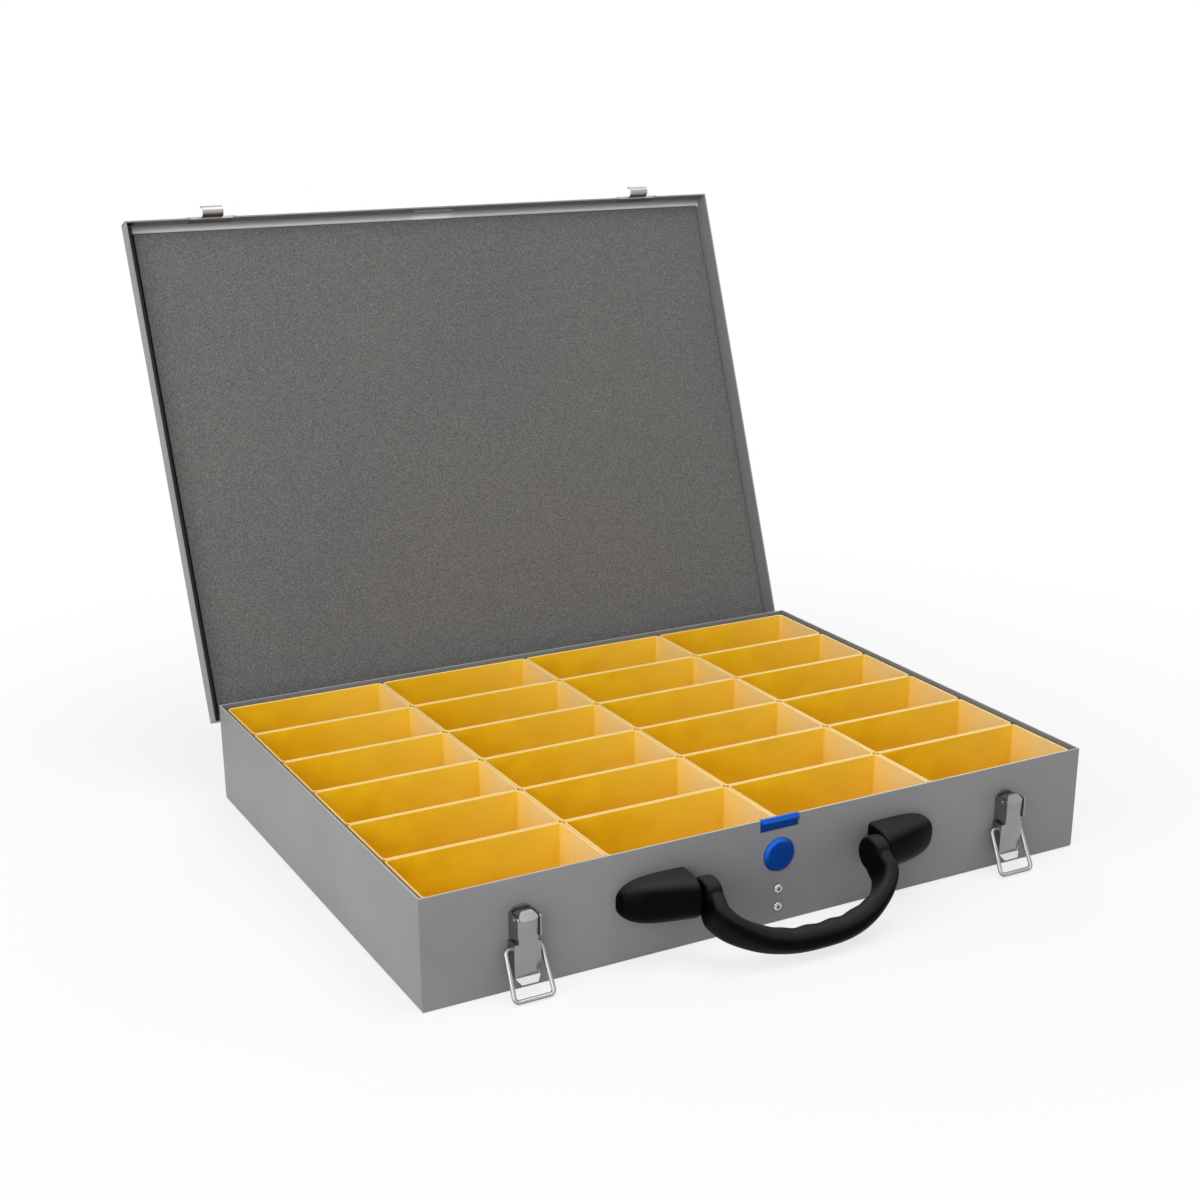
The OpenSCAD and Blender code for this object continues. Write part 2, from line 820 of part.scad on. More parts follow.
// Grip: an oval section carried along a smooth bow between two round knuckles.
// Knots are (x, reach, half width, half thickness, roundness of the section).
knuckle_x = housing_x - run_gap - grip_knuckle_l / 2;
grip_half_w = grip_w / 2;
grip_half_t = grip_t / 2;
arm_half_w = grip_knuckle_l / 2 - 0.2;
bow_knots = [
    [knuckle_x, 1, arm_half_w, knuckle_d / 2 - 0.8, 0.5],
    [knuckle_x, 7.5, arm_half_w, knuckle_d / 2 - 0.2, 0.5],
    [knuckle_x - 0.4, 15, arm_half_w + 0.2, grip_half_t + 4.3, 0.5],
    [knuckle_x - 7.8, 24.5, grip_half_w - 2.2, grip_half_t + 3.8, 0.6],
    [knuckle_x - 21.8, grip_reach - 5.5, grip_half_w - 0.9, grip_half_t + 1.7, 0.7],
    [knuckle_x - 38, grip_reach - 1, grip_half_w - 0.2, grip_half_t + 0.2, 0.85],
    [0, grip_reach, grip_half_w, grip_half_t, 0.9]
];
bow_full = concat(
    [for (k = bow_knots) [-k[0], k[1], k[2], k[3], k[4]]],
    [for (i = [len(bow_knots) - 2:-1:0]) bow_knots[i]]
);
bow_steps = 5;
bow_sides = 20;

// Smooth curve through four knots, v from 0 to 1 between the middle two
function curve_at(p0, p1, p2, p3, v) =
    0.5 * (2 * p1 + (p2 - p0) * v + (2 * p0 - 5 * p1 + 4 * p2 - p3) * v * v
        + (3 * p1 - p0 - 3 * p2 + p3) * v * v * v);
function bow_at(t) =
    let (
        n = len(bow_full) - 1,
        i = min(floor(t), n - 1),
        p1 = bow_full[i],
        p2 = bow_full[i + 1],
        p0 = i > 0 ? bow_full[i - 1] : 2 * p1 - p2,
        p3 = i + 2 <= n ? bow_full[i + 2] : 2 * p2 - p1
    )
    curve_at(p0, p1, p2, p3, t - i);
function groove(x) =
    let (fade = max(0, 1 - pow(x / (2 * groove_pitch + 4), 4)))
    groove_depth * fade * (0.5 + 0.5 * cos(360 * x / groove_pitch));

function bow_ring(t, last) =
    let (
        here = bow_at(t),
        ahead = bow_at(min(t + 0.02, last)),
        behind = bow_at(max(t - 0.02, 0)),
        dir = [ahead[0] - behind[0], ahead[1] - behind[1]],
        along = dir / norm(dir),
        side = [-along[1], along[0]]
    )
    [for (j = [0:bow_sides - 1])
        let (
            a = 360 * j / bow_sides,
            reach = here[2] * signed_pow(cos(a), here[4]),
            inner = cos(a) < 0 ? groove(here[0]) * abs(cos(a)) : 0,
            w = reach + inner
        )
        [here[0] + side[0] * w, here[3] * signed_pow(sin(a), here[4]), -(here[1] + side[1] * w)]];

// Round knuckle with soft edges, lying along X and centred on x
module grip_knuckle(x) {
    edge_r = 3;
    flat = grip_knuckle_l / 2 - edge_r;
    r = knuckle_d / 2 - edge_r;
    arc = [for (a = [0:15:90]) [r + edge_r * cos(a), flat + edge_r * sin(a)]];
    half = concat([[0, 0]], [[r + edge_r, 0]], arc, [[0, flat + edge_r]]);
    translate([x, 0, 0])
        rotate([0, 90, 0])
            for (s = [0, 1])
                mirror([0, 0, s])
                    rotate_extrude($fn = 40)
                        polygon(half);
}

module handle_grip() {
    last = len(bow_full) - 1;
    count = last * bow_steps;
    color("#161617")
        translate([0, front - grip_out, grip_h])
            rotate([-grip_lean, 0, 0])
                difference() {
                    union() {
                        skin([for (i = [0:count]) bow_ring(i / bow_steps, last)]);
                        grip_knuckle(-knuckle_x);
                        grip_knuckle(knuckle_x);
                    }
                    bar_x(-housing_x, pin_in + 0.2 - housing_x, grip_pin_d + 2 * pin_fit, 0, 0);
                    bar_x(housing_x - pin_in - 0.2, housing_x, grip_pin_d + 2 * pin_fit, 0, 0);
                }
}

// Centre lock: a moulded foot riveted behind the front wall, and a springy tongue above it that
// carries the button and the hook
module lock_foot() {
    color("#1d56b8")
        difference() {
            along_y(wall_in, wall_in + leaf_spring_t)
                translate([-lock_half, lock_foot_h])
                    square([2 * lock_half, lock_root_h - lock_foot_h]);
            for (z = [rivet_low_h, rivet_top_h])
                bar_y(wall_in - 1, wall_in + 3, rivet_d + 2 * pin_fit, 0, z);
        }
}

module lock_tongue() {
    back = wall_in + leaf_spring_t;
    root = lock_root_h + 0.2;
    color("#1d56b8") {
        along_y(wall_in, back)
            polygon([
                [-lock_half, root],
                [lock_half, root],
                [lock_half, button_h],
                [hook_half, notch_floor - shoulder_drop],
                [hook_half, case_h],
                [-hook_half, case_h],
                [-hook_half, notch_floor - shoulder_drop],
                [-lock_half, button_h]
            ]);
        translate([0, wall_in + cut, button_h])
            rotate([90, 0, 0])
                rotate_extrude($fn = 96)
                    button_profile();
        along_x(-hook_half, hook_half)
            translate([front, case_h])
                polygon([
                    [sheet_t + cut, 0],
                    [0.4, 0],
                    [-hook_out, -2],
                    [-hook_out, -2.8],
                    [0.4, -3.6],
                    [sheet_t + cut, -3.6]
                ]);
    }
}

// Half section of the button: a flat face with a wide chamfer and a soft edge
module button_profile() {
    lift = sheet_t + button_out;
    r = button_d / 2;
    polygon([
        [0, 0],
        [r, 0],
        [r, lift - 1.3],
        [r - 0.3, lift - 0.8],
        [r - 1.8, lift - 0.1],
        [r - 2.2, lift],
        [0, lift]
    ]);
}

// Blind rivets of the lock: a low dome with a hollow middle outside, a bulged end inside
module lock_rivets() {
    dome_h = 1.2;
    core_d = 1.9;
    bulb_d = 4.4;
    color("#d5d6d8")
        for (z = [rivet_low_h, rivet_top_h])
            difference() {
                union() {
                    bar_y(front, wall_in + leaf_spring_t, rivet_d, 0, z);
                    bar_y(wall_in + leaf_spring_t, wall_in + leaf_spring_t + 0.8, bulb_d, 0, z);
                    translate([0, front, z])
                        rotate([90, 0, 0])
                            dome(dome_d / 2, dome_h);
                }
                bar_y(front - 3, front, core_d, 0, z);
            }
}

// A low dome of radius r and height h, standing on z = 0
module dome(r, h) {
    ball = (r * r + h * h) / (2 * h);
    intersection() {
        translate([0, 0, h - ball])
            sphere(ball, $fn = 96);
        cylinder(h = h, r = r);
    }
}

// Bins: drafted trays with rounded corners, open at the top
module drafted_block(w, d, h, r, flare) {
    cx = w / 2 - flare - r;
    cy = d / 2 - flare - r;
    along_x(-cx, cx)
        polygon([[-cy - r, 0], [cy + r, 0], [cy + r + flare, h], [-cy - r - flare, h]]);
    along_y(-cy, cy)
        polygon([[-cx - r, 0], [cx + r, 0], [cx + r + flare, h], [-cx - r - flare, h]]);
    for (sx = [-1, 1])
        for (sy = [-1, 1])
            translate([sx * cx, sy * cy, 0])
                cylinder(h = h, r1 = r, r2 = r + flare);
}

module bin(c, r) {
    x = (c - (bin_cols - 1) / 2) * (bin_w + bin_gap);
    y = (r - (bin_rows - 1) / 2) * (bin_d + bin_gap);
    color("#f0a800")
        translate([x, y, sheet_t])
            difference() {
                drafted_block(bin_w, bin_d, bin_h, bin_r, bin_flare);
                translate([0, 0, bin_wall])
                    drafted_block(
                        bin_w - 2 * bin_wall,
                        bin_d - 2 * bin_wall,
                        bin_h,
                        bin_r - bin_wall,
                        bin_flare
                    );
            }
}

case_base();
lid_shell();
lid_foam();
hinge_base_leaf(-hinge_x);  // hinge_base_leaf_left
hinge_base_leaf(hinge_x);  // hinge_base_leaf_right
hinge_lid_leaf(-hinge_x);  // hinge_lid_leaf_left
hinge_lid_leaf(hinge_x);  // hinge_lid_leaf_right
hinge_pin(-hinge_x);  // hinge_pin_left
hinge_pin(hinge_x);  // hinge_pin_right
lid_catch(-latch_x);  // lid_catch_left
lid_catch(latch_x);  // lid_catch_right
latch_bracket(-latch_x);  // latch_bracket_left
latch_bracket(latch_x);  // latch_bracket_right
latch_lever(-latch_x);  // latch_lever_left
latch_lever(latch_x);  // latch_lever_right
latch_bail(-latch_x);  // latch_bail_left
latch_bail(latch_x);  // latch_bail_right
latch_pin(-latch_x);  // latch_pin_left
latch_pin(latch_x);  // latch_pin_right
latch_rivets();
handle_housing(-1);  // handle_housing_left
handle_housing(1);  // handle_housing_right
handle_grip();
handle_pin(-1);  // handle_pin_left
handle_pin(1);  // handle_pin_right
handle_rivets();
lock_foot();
lock_tongue();
lock_rivets();
for (c = [0:bin_cols - 1])
    for (r = [0:bin_rows - 1])
        bin(c, r);
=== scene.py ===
"""Looks of a compartment organizer case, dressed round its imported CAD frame.

Lengths of the sub-assemblies are written in millimetres, as the case's own drawing has them, and
become metres when a mesh is made. Lengths of the finishes and the studio are metres. X runs to the
right, the front of the case faces -Y and Z is up.
"""

import logging
import math
from dataclasses import dataclass
from enum import Enum
from typing import Any, Callable, Iterable, Sequence

import bmesh
import bpy
import numpy as np
from mathutils import Matrix, Vector


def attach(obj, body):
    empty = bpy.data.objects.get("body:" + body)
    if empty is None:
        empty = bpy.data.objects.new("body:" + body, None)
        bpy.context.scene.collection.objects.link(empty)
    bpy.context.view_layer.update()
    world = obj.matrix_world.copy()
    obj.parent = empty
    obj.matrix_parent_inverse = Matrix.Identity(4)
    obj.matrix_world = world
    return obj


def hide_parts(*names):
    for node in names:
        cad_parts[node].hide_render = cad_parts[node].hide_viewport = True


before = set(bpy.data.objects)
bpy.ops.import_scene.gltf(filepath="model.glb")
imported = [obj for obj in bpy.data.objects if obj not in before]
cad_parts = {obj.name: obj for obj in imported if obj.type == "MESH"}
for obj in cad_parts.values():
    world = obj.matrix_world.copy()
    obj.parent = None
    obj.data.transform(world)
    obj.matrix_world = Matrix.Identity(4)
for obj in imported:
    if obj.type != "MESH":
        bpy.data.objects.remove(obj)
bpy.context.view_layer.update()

LOG = logging.getLogger("organizer_case")
MM = 0.001

# Points nearer than this are one point, in metres: of a new piece, and of a copied node.
SAME_POINT = 1e-7
SAME_CORNER = 2e-6
# Angles in degrees: faces within the first are one flat, edges over the second are rounded.
ONE_FLAT = 0.5
ROUNDED_FROM = 32.0

# Nearly all values of a noise lie in this span, about this middle.
NOISE_SPAN = (0.3, 0.7)
NOISE_MIDDLE = 0.5

Colour = tuple[float, float, float]
WHITE: Colour = (1.0, 1.0, 1.0)
BLACK: Colour = (0.0, 0.0, 0.0)


class Slot(Enum):
    """The record's material slots."""

    PAINT = "grey_paint"
    FOAM = "foam_liner"
    BRIGHT = "bright_steel"
    LATCH = "latch_steel"
    BLACK = "black_plastic"
    BLUE = "blue_plastic"
    YELLOW = "yellow_plastic"


class Mark(Enum):
    """What a finish can read about single faces, as a share from 0 to 1."""

    EDGE_WEAR = "edge_wear"
    # Faces of the lid's inner side, which get painted shade and a painted reflection.
    LINER_SIDE = "liner_side"
    # Faces that get a painted highlight.
    RUBBED = "rubbed"
    # Faces that get painted shade.
    HOLLOW = "hollow"
    # Slopes that get a painted highlight.
    SLOPE = "slope"


class Side(Enum):
    """Left or right half of the case, as the sign of X."""

    LEFT = -1
    RIGHT = 1

    @property
    def word(self) -> str:
        """The side's name as the CAD nodes write it."""
        return self.name.lower()


@dataclass(frozen=True)
class LidSwing:
    """The lid's hinge line and how far the lid stands open at rest, in millimetres and degrees."""

    y: float = 168.2
    z: float = 51.1
    angle: float = 110.5

    def close(self, points: np.ndarray) -> np.ndarray:
        """Points of the open lid, moved to where they lie with the lid closed."""
        return turned(points, self.angle, self.y, self.z)

    def open(self, points: np.ndarray) -> np.ndarray:
        """Points of the closed lid, moved to where they lie with the lid open."""
        return turned(points, -self.angle, self.y, self.z)


LID = LidSwing()


# Shader maths


class Wire:
    """One output socket of a shader tree, on which Python's own operators add Math nodes."""

    def __init__(self, tree: "Shader", socket: bpy.types.NodeSocket) -> None:
        """Wraps an output socket of the tree."""
        self.tree = tree
        self.socket = socket

    def maths(self, operation: str, *values: Any) -> "Wire":
        """Adds one Math node.

        Args:
            operation: Name of the Math node's operation.
            values: Its inputs in order, wires or numbers.

        Returns:
            The node's result.
        """
        made = self.tree.add("ShaderNodeMath", {"operation": operation}, dict(enumerate(values)))
        return made("Value")

    def __add__(self, other: Any) -> "Wire":
        """Sum of two values."""
        return self.maths("ADD", self, other)

    def __radd__(self, other: Any) -> "Wire":
        """Sum with a number on the left."""
        return self.maths("ADD", other, self)

    def __sub__(self, other: Any) -> "Wire":
        """Difference of two values."""
        return self.maths("SUBTRACT", self, other)

    def __rsub__(self, other: Any) -> "Wire":
        """Difference from a number on the left."""
        return self.maths("SUBTRACT", other, self)

    def __mul__(self, other: Any) -> "Wire":
        """Product of two values."""
        return self.maths("MULTIPLY", self, other)

    def __rmul__(self, other: Any) -> "Wire":
        """Product with a number on the left."""
        return self.maths("MULTIPLY", other, self)

    def __abs__(self) -> "Wire":
        """Size of the value without its sign."""
        return self.maths("ABSOLUTE", self)

    def at_least(self, other: Any) -> "Wire":
        """The larger of two values."""
        return self.maths("MAXIMUM", self, other)

    def lifted(self, low: float) -> "Wire":
        """A share from 0 to 1, raised so that it runs from low to 1."""
        return low + (1.0 - low) * self

    def swing(self, reach: float) -> "Wire":
        """How far a noise lies from its middle, times a reach."""
        return reach * (self - NOISE_MIDDLE)

    def within(self, pitch: float) -> "Wire":
        """Place inside a row of equal steps, from 0 at a step's start to 1 at its end."""
        steps = self * (1.0 / pitch)
        return steps.maths("FRACT", steps)

    def ramp(self, low: float, high: float) -> "Wire":
        """Rises smoothly from 0 at low to 1 at high.

        Args:
            low: Value at which the result is 0.
            high: Value at which the result is 1. It may lie below low.

        Returns:
            The smooth share, from 0 to 1.
        """
        ends = (low, high, 0.0, 1.0) if low < high else (high, low, 1.0, 0.0)
        inputs = {0: self, 1: ends[0], 2: ends[1], 3: ends[2], 4: ends[3]}
        made = self.tree.add("ShaderNodeMapRange", {"interpolation_type": "SMOOTHSTEP"}, inputs)
        return made("Result")


class Node:
    """A shader node whose outputs are read by name."""

    def __init__(self, tree: "Shader", node: bpy.types.Node) -> None:
        """Wraps a node of the tree."""
        self.tree = tree
        self.node = node

    def __call__(self, output: str) -> Wire:
        """The output of that name, as a wire."""
        return Wire(self.tree, self.node.outputs[output])


class Shader:
    """Builds the node tree of one material or world."""

    def __init__(
        self,
        owner: bpy.types.Material | bpy.types.World,
        output: str = "ShaderNodeOutputMaterial",
    ) -> None:
        """Empties the owner's tree and gives it an output.

        Args:
            owner: Material or world whose tree is built.
            output: Type name of its output node.
        """
        owner.use_nodes = True
        self.owner = owner
        self.nodes = owner.node_tree.nodes
        self.links = owner.node_tree.links
        self.nodes.clear()
        self.output = self.nodes.new(output)

    @classmethod
    def of_material(cls, name: str) -> "Shader":
        """An empty tree in a new material."""
        return cls(bpy.data.materials.new(name))

    def add(
        self,
        kind: str,
        settings: dict[str, Any] | None = None,
        inputs: dict[Any, Any] | None = None,
    ) -> Node:
        """Adds any node.

        Args:
            kind: The node's type name.
            settings: Properties set first. The key "stops" holds a ramp's (place, colour) pairs.
            inputs: Socket names or numbers with their wires or values.

        Returns:
            The node, whose outputs are read by name.
        """
        node = self.nodes.new(kind)
        for key, value in (settings or {}).items():
            if key == "stops":
                self._stops(node, value)
            else:
                setattr(node, key, value)
        for key, value in (inputs or {}).items():
            if isinstance(value, Wire):
                self.links.new(value.socket, node.inputs[key])
            else:
                node.inputs[key].default_value = value
        return Node(self, node)

    def _stops(self, node: bpy.types.Node, stops: Sequence[tuple[float, Colour]]) -> None:
        """Writes the colour stops of a Color Ramp node."""
        elements = node.color_ramp.elements
        while len(elements) < len(stops):
            elements.new(0.5)
        for element, (place, colour) in zip(elements, stops):
            element.position = place
            element.color = (*colour, 1.0)

    def place(self) -> Wire:
        """Object coordinates."""
        return self.add("ShaderNodeTexCoord")("Object")

    def facing(self) -> Node:
        """The surface's own outward direction, split into X, Y and Z."""
        return self.parts(self.add("ShaderNodeTexCoord")("Normal"))

    def parts(self, vector: Wire) -> Node:
        """A vector split into X, Y and Z."""
        return self.add("ShaderNodeSeparateXYZ", {}, {0: vector})

    def marked(self, mark: Mark) -> Wire:
        """The number that mark_faces wrote for each face under that mark, or 0."""
        return self.add("ShaderNodeAttribute", {"attribute_name": mark.value})("Fac")

    def stretched(self, vector: Wire, scale: Sequence[float]) -> Wire:
        """Scales a vector along each axis.

        Args:
            vector: Coordinates to scale.
            scale: Factors along X, Y and Z.

        Returns:
            The scaled coordinates.
        """
        inputs = {"Vector": vector, "Scale": tuple(scale)}
        return self.add("ShaderNodeMapping", {}, inputs)("Vector")

    def noise(self, vector: Wire, scale: float, detail: float = 2.0, rough: float = 0.5) -> Wire:
        """Noise value from 0 to 1.

        Args:
            vector: Coordinates in metres.
            scale: Grains per metre.
            detail: Number of finer octaves.
            rough: Weight of the finer octaves.

        Returns:
            The noise value.
        """
        inputs = {"Vector": vector, "Scale": scale, "Detail": detail, "Roughness": rough}
        return self.add("ShaderNodeTexNoise", {}, inputs)("Fac")

    def mix(self, share: Any, first: Any, second: Any, blend: str = "MIX") -> Wire:
        """Mixes two colours.

        Args:
            share: Share of the second colour.
            first: First colour, a wire or three numbers.
            second: Second colour, a wire or three numbers.
            blend: Blend mode.

        Returns:
            The mixed colour.
        """
        pair = [c if isinstance(c, Wire) else (*c, 1.0) for c in (first, second)]
        settings = {"data_type": "RGBA", "blend_type": blend}
        inputs = {0: share, 6: pair[0], 7: pair[1]}
        node = self.add("ShaderNodeMix", settings, inputs)
        return Wire(self, node.node.outputs[2])

    def bump(self, height: Wire, depth: float, strength: float = 1.0) -> Wire:
        """Normal from a height.

        Args:
            height: Height from 0 to 1.
            depth: Depth of the relief in metres.
            strength: Share of the relief that shows.

        Returns:
            The bumped normal.
        """
        inputs = {"Height": height, "Distance": depth, "Strength": strength}
        return self.add("ShaderNodeBump", {}, inputs)("Normal")

    def surface(self, constants: dict[str, Any], varying: dict[str, Wire]) -> bpy.types.Material:
        """Closes the tree with a Principled shader.

        Args:
            constants: Numbers and colours set on the shader's own sockets.
            varying: Wires that change over the surface.

        Returns:
            The finished material.
        """
        shader = self.add("ShaderNodeBsdfPrincipled", {}, {**constants, **varying})
        return self.closed(shader("BSDF"))

    def closed(self, shader: Wire) -> Any:
        """Joins a shader to the output and returns the tree's material or world."""
        self.links.new(shader.socket, self.output.inputs["Surface"])
        return self.owner

    def unlit(self) -> Wire:
        """1 for rays from the camera, off mirrors and through glass, and 0 for all others."""
        path = self.add("ShaderNodeLightPath")
        seen = path("Is Camera Ray").at_least(path("Is Glossy Ray"))
        return seen.at_least(path("Is Transmission Ray"))


# Finishes


def shade(colour: Colour, factor: float) -> Colour:
    """A colour with every part times a factor."""
    return tuple(part * factor for part in colour)


@dataclass(frozen=True)
class SheetPaint:
    """Satin powder paint on folded sheet steel, worn to a paler tone at the cut edges, with painted
    shade and a painted reflection on the lid's inner side.
    """

    name: str = "grey_powder_paint"
    colour: Colour = (0.220, 0.220, 0.226)
    shades: tuple[float, float] = (0.93, 1.06)
    rough: float = 0.42
    specular: float = 0.3
    cloud_scale: float = 9.0
    smear_scale: float = 60.0
    smear_stretch: tuple[float, float, float] = (1.0, 1.0, 0.25)
    grain_scale: float = 2600.0
    grain_depth: float = 0.00002
    worn_least: float = 0.55
    liner_shade_least: float = 0.9
    edge_colour: Colour = (0.52, 0.52, 0.53)
    # Painted shadow in the gap at the liner's left edge.
    gap_shadow_colour: Colour = (0.008, 0.008, 0.008)
    # Painted shade from the rim over the skirt, rising to a painted reflection beside the liner,
    # along this way.
    way_from: float = 0.0563
    way_to: float = 0.0708
    shade_to_reflection_tones: tuple[tuple[float, float], ...] = (
        (0.0, 0.07),
        (0.6, 0.15),
        (0.8, 0.26),
        (0.92, 0.52),
        (1.0, 0.90),
    )
    skirt_y: float = 0.1655
    liner_x: float = -0.2150
    liner_y: float = -0.1600
    soft: float = 0.0002

    def make(self) -> bpy.types.Material:
        """Builds the material: a mottled grey with fine orange peel, paler at worn edges, and
        painted light and shade beside the liner.
        """
        tree = Shader.of_material(self.name)
        place = tree.place()
        cloud = tree.noise(place, self.cloud_scale, detail=3.0)
        peel = tree.noise(place, self.grain_scale, detail=2.0)
        tall = tree.stretched(place, self.smear_stretch)
        smear = tree.noise(tall, self.smear_scale, detail=4.0)
        dark, light = (shade(self.colour, factor) for factor in self.shades)
        colour = tree.mix(cloud.ramp(*NOISE_SPAN), dark, light)
        worn = tree.marked(Mark.EDGE_WEAR) * smear.lifted(self.worn_least)
        colour = tree.mix(worn, colour, self.edge_colour)
        # Painted shade and a painted reflection on the lid's inner faces beside the liner.
        inside = tree.marked(Mark.LINER_SIDE) * smear.lifted(self.liner_shade_least)
        colour = self.paint_liner_shade(tree, place, colour, inside)
        rough = self.rough + smear.swing(0.08) + peel.swing(0.05)
        normal = tree.bump(peel, self.grain_depth, strength=0.5)
        return tree.surface(
            {"Specular IOR Level": self.specular},
            {"Base Color": colour, "Roughness": rough, "Normal": normal},
        )

    def paint_liner_shade(self, tree: Shader, place: Wire, colour: Wire, share: Wire) -> Wire:
        """Paints light and shade on the lid's inner side: painted shade by the rim, a painted
        reflection in the front fold, and a painted shadow in the gap at the liner's left.

        The coordinates are those of the closed lid. Its reach is the hinge's place plus the
        distance behind the hinge times the cosine of the opening angle, less the height above the
        hinge times its sine, and its depth is the same with the sine and the cosine swapped and a
        sum. The way from the rim over the skirt to the liner is the depth plus the reach.

        Args:
            tree: Tree of the paint.
            place: Object coordinates, with the lid open.
            colour: Tone of the paint.
            share: How much of the tones shows, 0 outside the lid's inner side.

        Returns:
            The toned colour.
        """
        angle = math.radians(LID.angle)
        sine, cosine = math.sin(angle), math.cos(angle)
        hinge_y, hinge_z = LID.y * MM, LID.z * MM
        parts = tree.parts(place)
        back, up = parts("Y") - hinge_y, parts("Z") - hinge_z
        reach = back * cosine - up * sine + hinge_y
        way = back * sine + up * cosine + (hinge_z + self.skirt_y) + reach
        part = (way - self.way_from) * (1.0 / (self.way_to - self.way_from))
        stops = [(at, (tone, tone, tone)) for at, tone in self.shade_to_reflection_tones]
        tone = tree.add("ShaderNodeValToRGB", {"stops": stops}, {0: part})("Color")
        fold = reach.ramp(self.liner_y + self.soft, self.liner_y)
        colour = tree.mix(fold * share, colour, tone)
        # Painted shadow in the gap between the liner's left edge and the skirt.
        gap = parts("X").ramp(self.liner_x + self.soft, self.liner_x)
        return tree.mix(gap * share, colour, self.gap_shadow_colour)


@dataclass(frozen=True)
class FoamFinish:
    """Dark grey foam sheet with pale and dark grains, and painted shade on its sides that face left
    and right.
    """

    name: str = "speckled_foam"
    dark: Colour = (0.090, 0.090, 0.090)
    light: Colour = (0.180, 0.180, 0.178)
    pale: Colour = (0.33, 0.33, 0.325)
    pore: Colour = (0.03, 0.03, 0.03)
    # Painted shade on the sheet's left and right sides.
    cut: Colour = (0.012, 0.012, 0.012)
    cool: Colour = (0.96, 0.965, 0.975)
    warm: Colour = (1.04, 1.035, 1.01)
    cell_scale: float = 1050.0
    grain_scale: float = 1900.0
    patch_scale: float = 5.0
    cell_span: tuple[float, float] = (0.34, 0.68)
    pale_span: tuple[float, float] = (0.62, 0.74)
    pore_span: tuple[float, float] = (0.36, 0.26)
    side_shade_span: tuple[float, float] = (0.4, 0.9)
    cell_share: float = 0.7
    grain_share: float = 0.3
    relief: float = 0.0006
    rough: float = 0.95
    specular: float = 0.15

    def make(self) -> bpy.types.Material:
        """Builds the material: open cells as fine noise with bright grains and dark pores, and
        painted shade on the side faces.
        """
        tree = Shader.of_material(self.name)
        place = tree.place()
        cells = tree.noise(place, self.cell_scale, detail=3.0, rough=0.7)
        grains = tree.noise(place, self.grain_scale, detail=1.0)
        patches = tree.noise(place, self.patch_scale, detail=2.0)
        colour = tree.mix(cells.ramp(*self.cell_span), self.dark, self.light)
        colour = tree.mix(grains.ramp(*self.pale_span) * 0.8, colour, self.pale)
        colour = tree.mix(grains.ramp(*self.pore_span) * 0.5, colour, self.pore)
        tint = tree.mix(patches.ramp(*NOISE_SPAN), self.cool, self.warm)
        colour = tree.mix(1.0, colour, tint, "MULTIPLY")
        # Painted shade on faces turned left or right.
        cut = abs(tree.facing()("X")).ramp(*self.side_shade_span)
        colour = tree.mix(cut * 0.9, colour, self.cut)
        height = cells * self.cell_share + grains * self.grain_share
        return tree.surface(
            {"Specular IOR Level": self.specular, "Roughness": self.rough},
            {"Base Color": colour, "Normal": tree.bump(height, self.relief, strength=0.7)},
        )


@dataclass(frozen=True)
class PlatedSteel:
    """Bright plated steel with fine draw marks along one axis, and painted shade on faces turned
    down.

    Marked faces get a painted highlight, and the marked hollows and dome edges of rivets get the
    same painted shade.
    """

    name: str
    colour: Colour = (0.40, 0.40, 0.395)
    # Painted shade on downward faces and on marked rivet hollows.
    film: Colour = (0.06, 0.06, 0.06)
    painted_shade_share: float = 0.75
    painted_shade_span: tuple[float, float] = (0.2, -0.7)
    # Painted highlight on marked faces.
    rubbed: Colour = (0.74, 0.74, 0.73)
    painted_highlight_share: float = 0.85
    low_shade: float = 0.86
    rough: float = 0.38
    stretch: tuple[float, float, float] = (1.0, 1.0, 0.06)
    mark_scale: float = 2400.0
    mark_depth: float = 0.000006
    mark_share: float = 0.4
    drift_scale: float = 70.0
    drift_share: float = 0.6

    def make(self) -> bpy.types.Material:
        """Builds the material: a tone that drifts slowly, with draw marks in gloss and relief,
        painted highlights and painted shade.
        """
        tree = Shader.of_material(self.name)
        place = tree.place()
        marks = tree.noise(tree.stretched(place, self.stretch), self.mark_scale, detail=3.0)
        drift = tree.noise(place, self.drift_scale, detail=3.0)
        tone = drift.ramp(*NOISE_SPAN) * self.drift_share + marks * self.mark_share
        colour = tree.mix(tone, shade(self.colour, self.low_shade), self.colour)
        # Painted highlight on marked faces.
        highlight = tree.marked(Mark.RUBBED) * (self.painted_highlight_share + marks.swing(0.3))
        colour = tree.mix(highlight, colour, self.rubbed)
        # Painted shade on faces turned down and on faces marked as shaded hollows.
        under = tree.facing()("Z").ramp(*self.painted_shade_span) * self.painted_shade_share
        shaded = under.at_least(tree.marked(Mark.HOLLOW))
        colour = tree.mix(shaded, colour, self.film)
        rough = self.rough + marks.swing(0.10) + drift.swing(0.10)
        normal = tree.bump(marks, self.mark_depth, strength=0.6)
        return tree.surface(
            {"Metallic": 1.0},
            {"Base Color": colour, "Roughness": rough, "Normal": normal},
        )


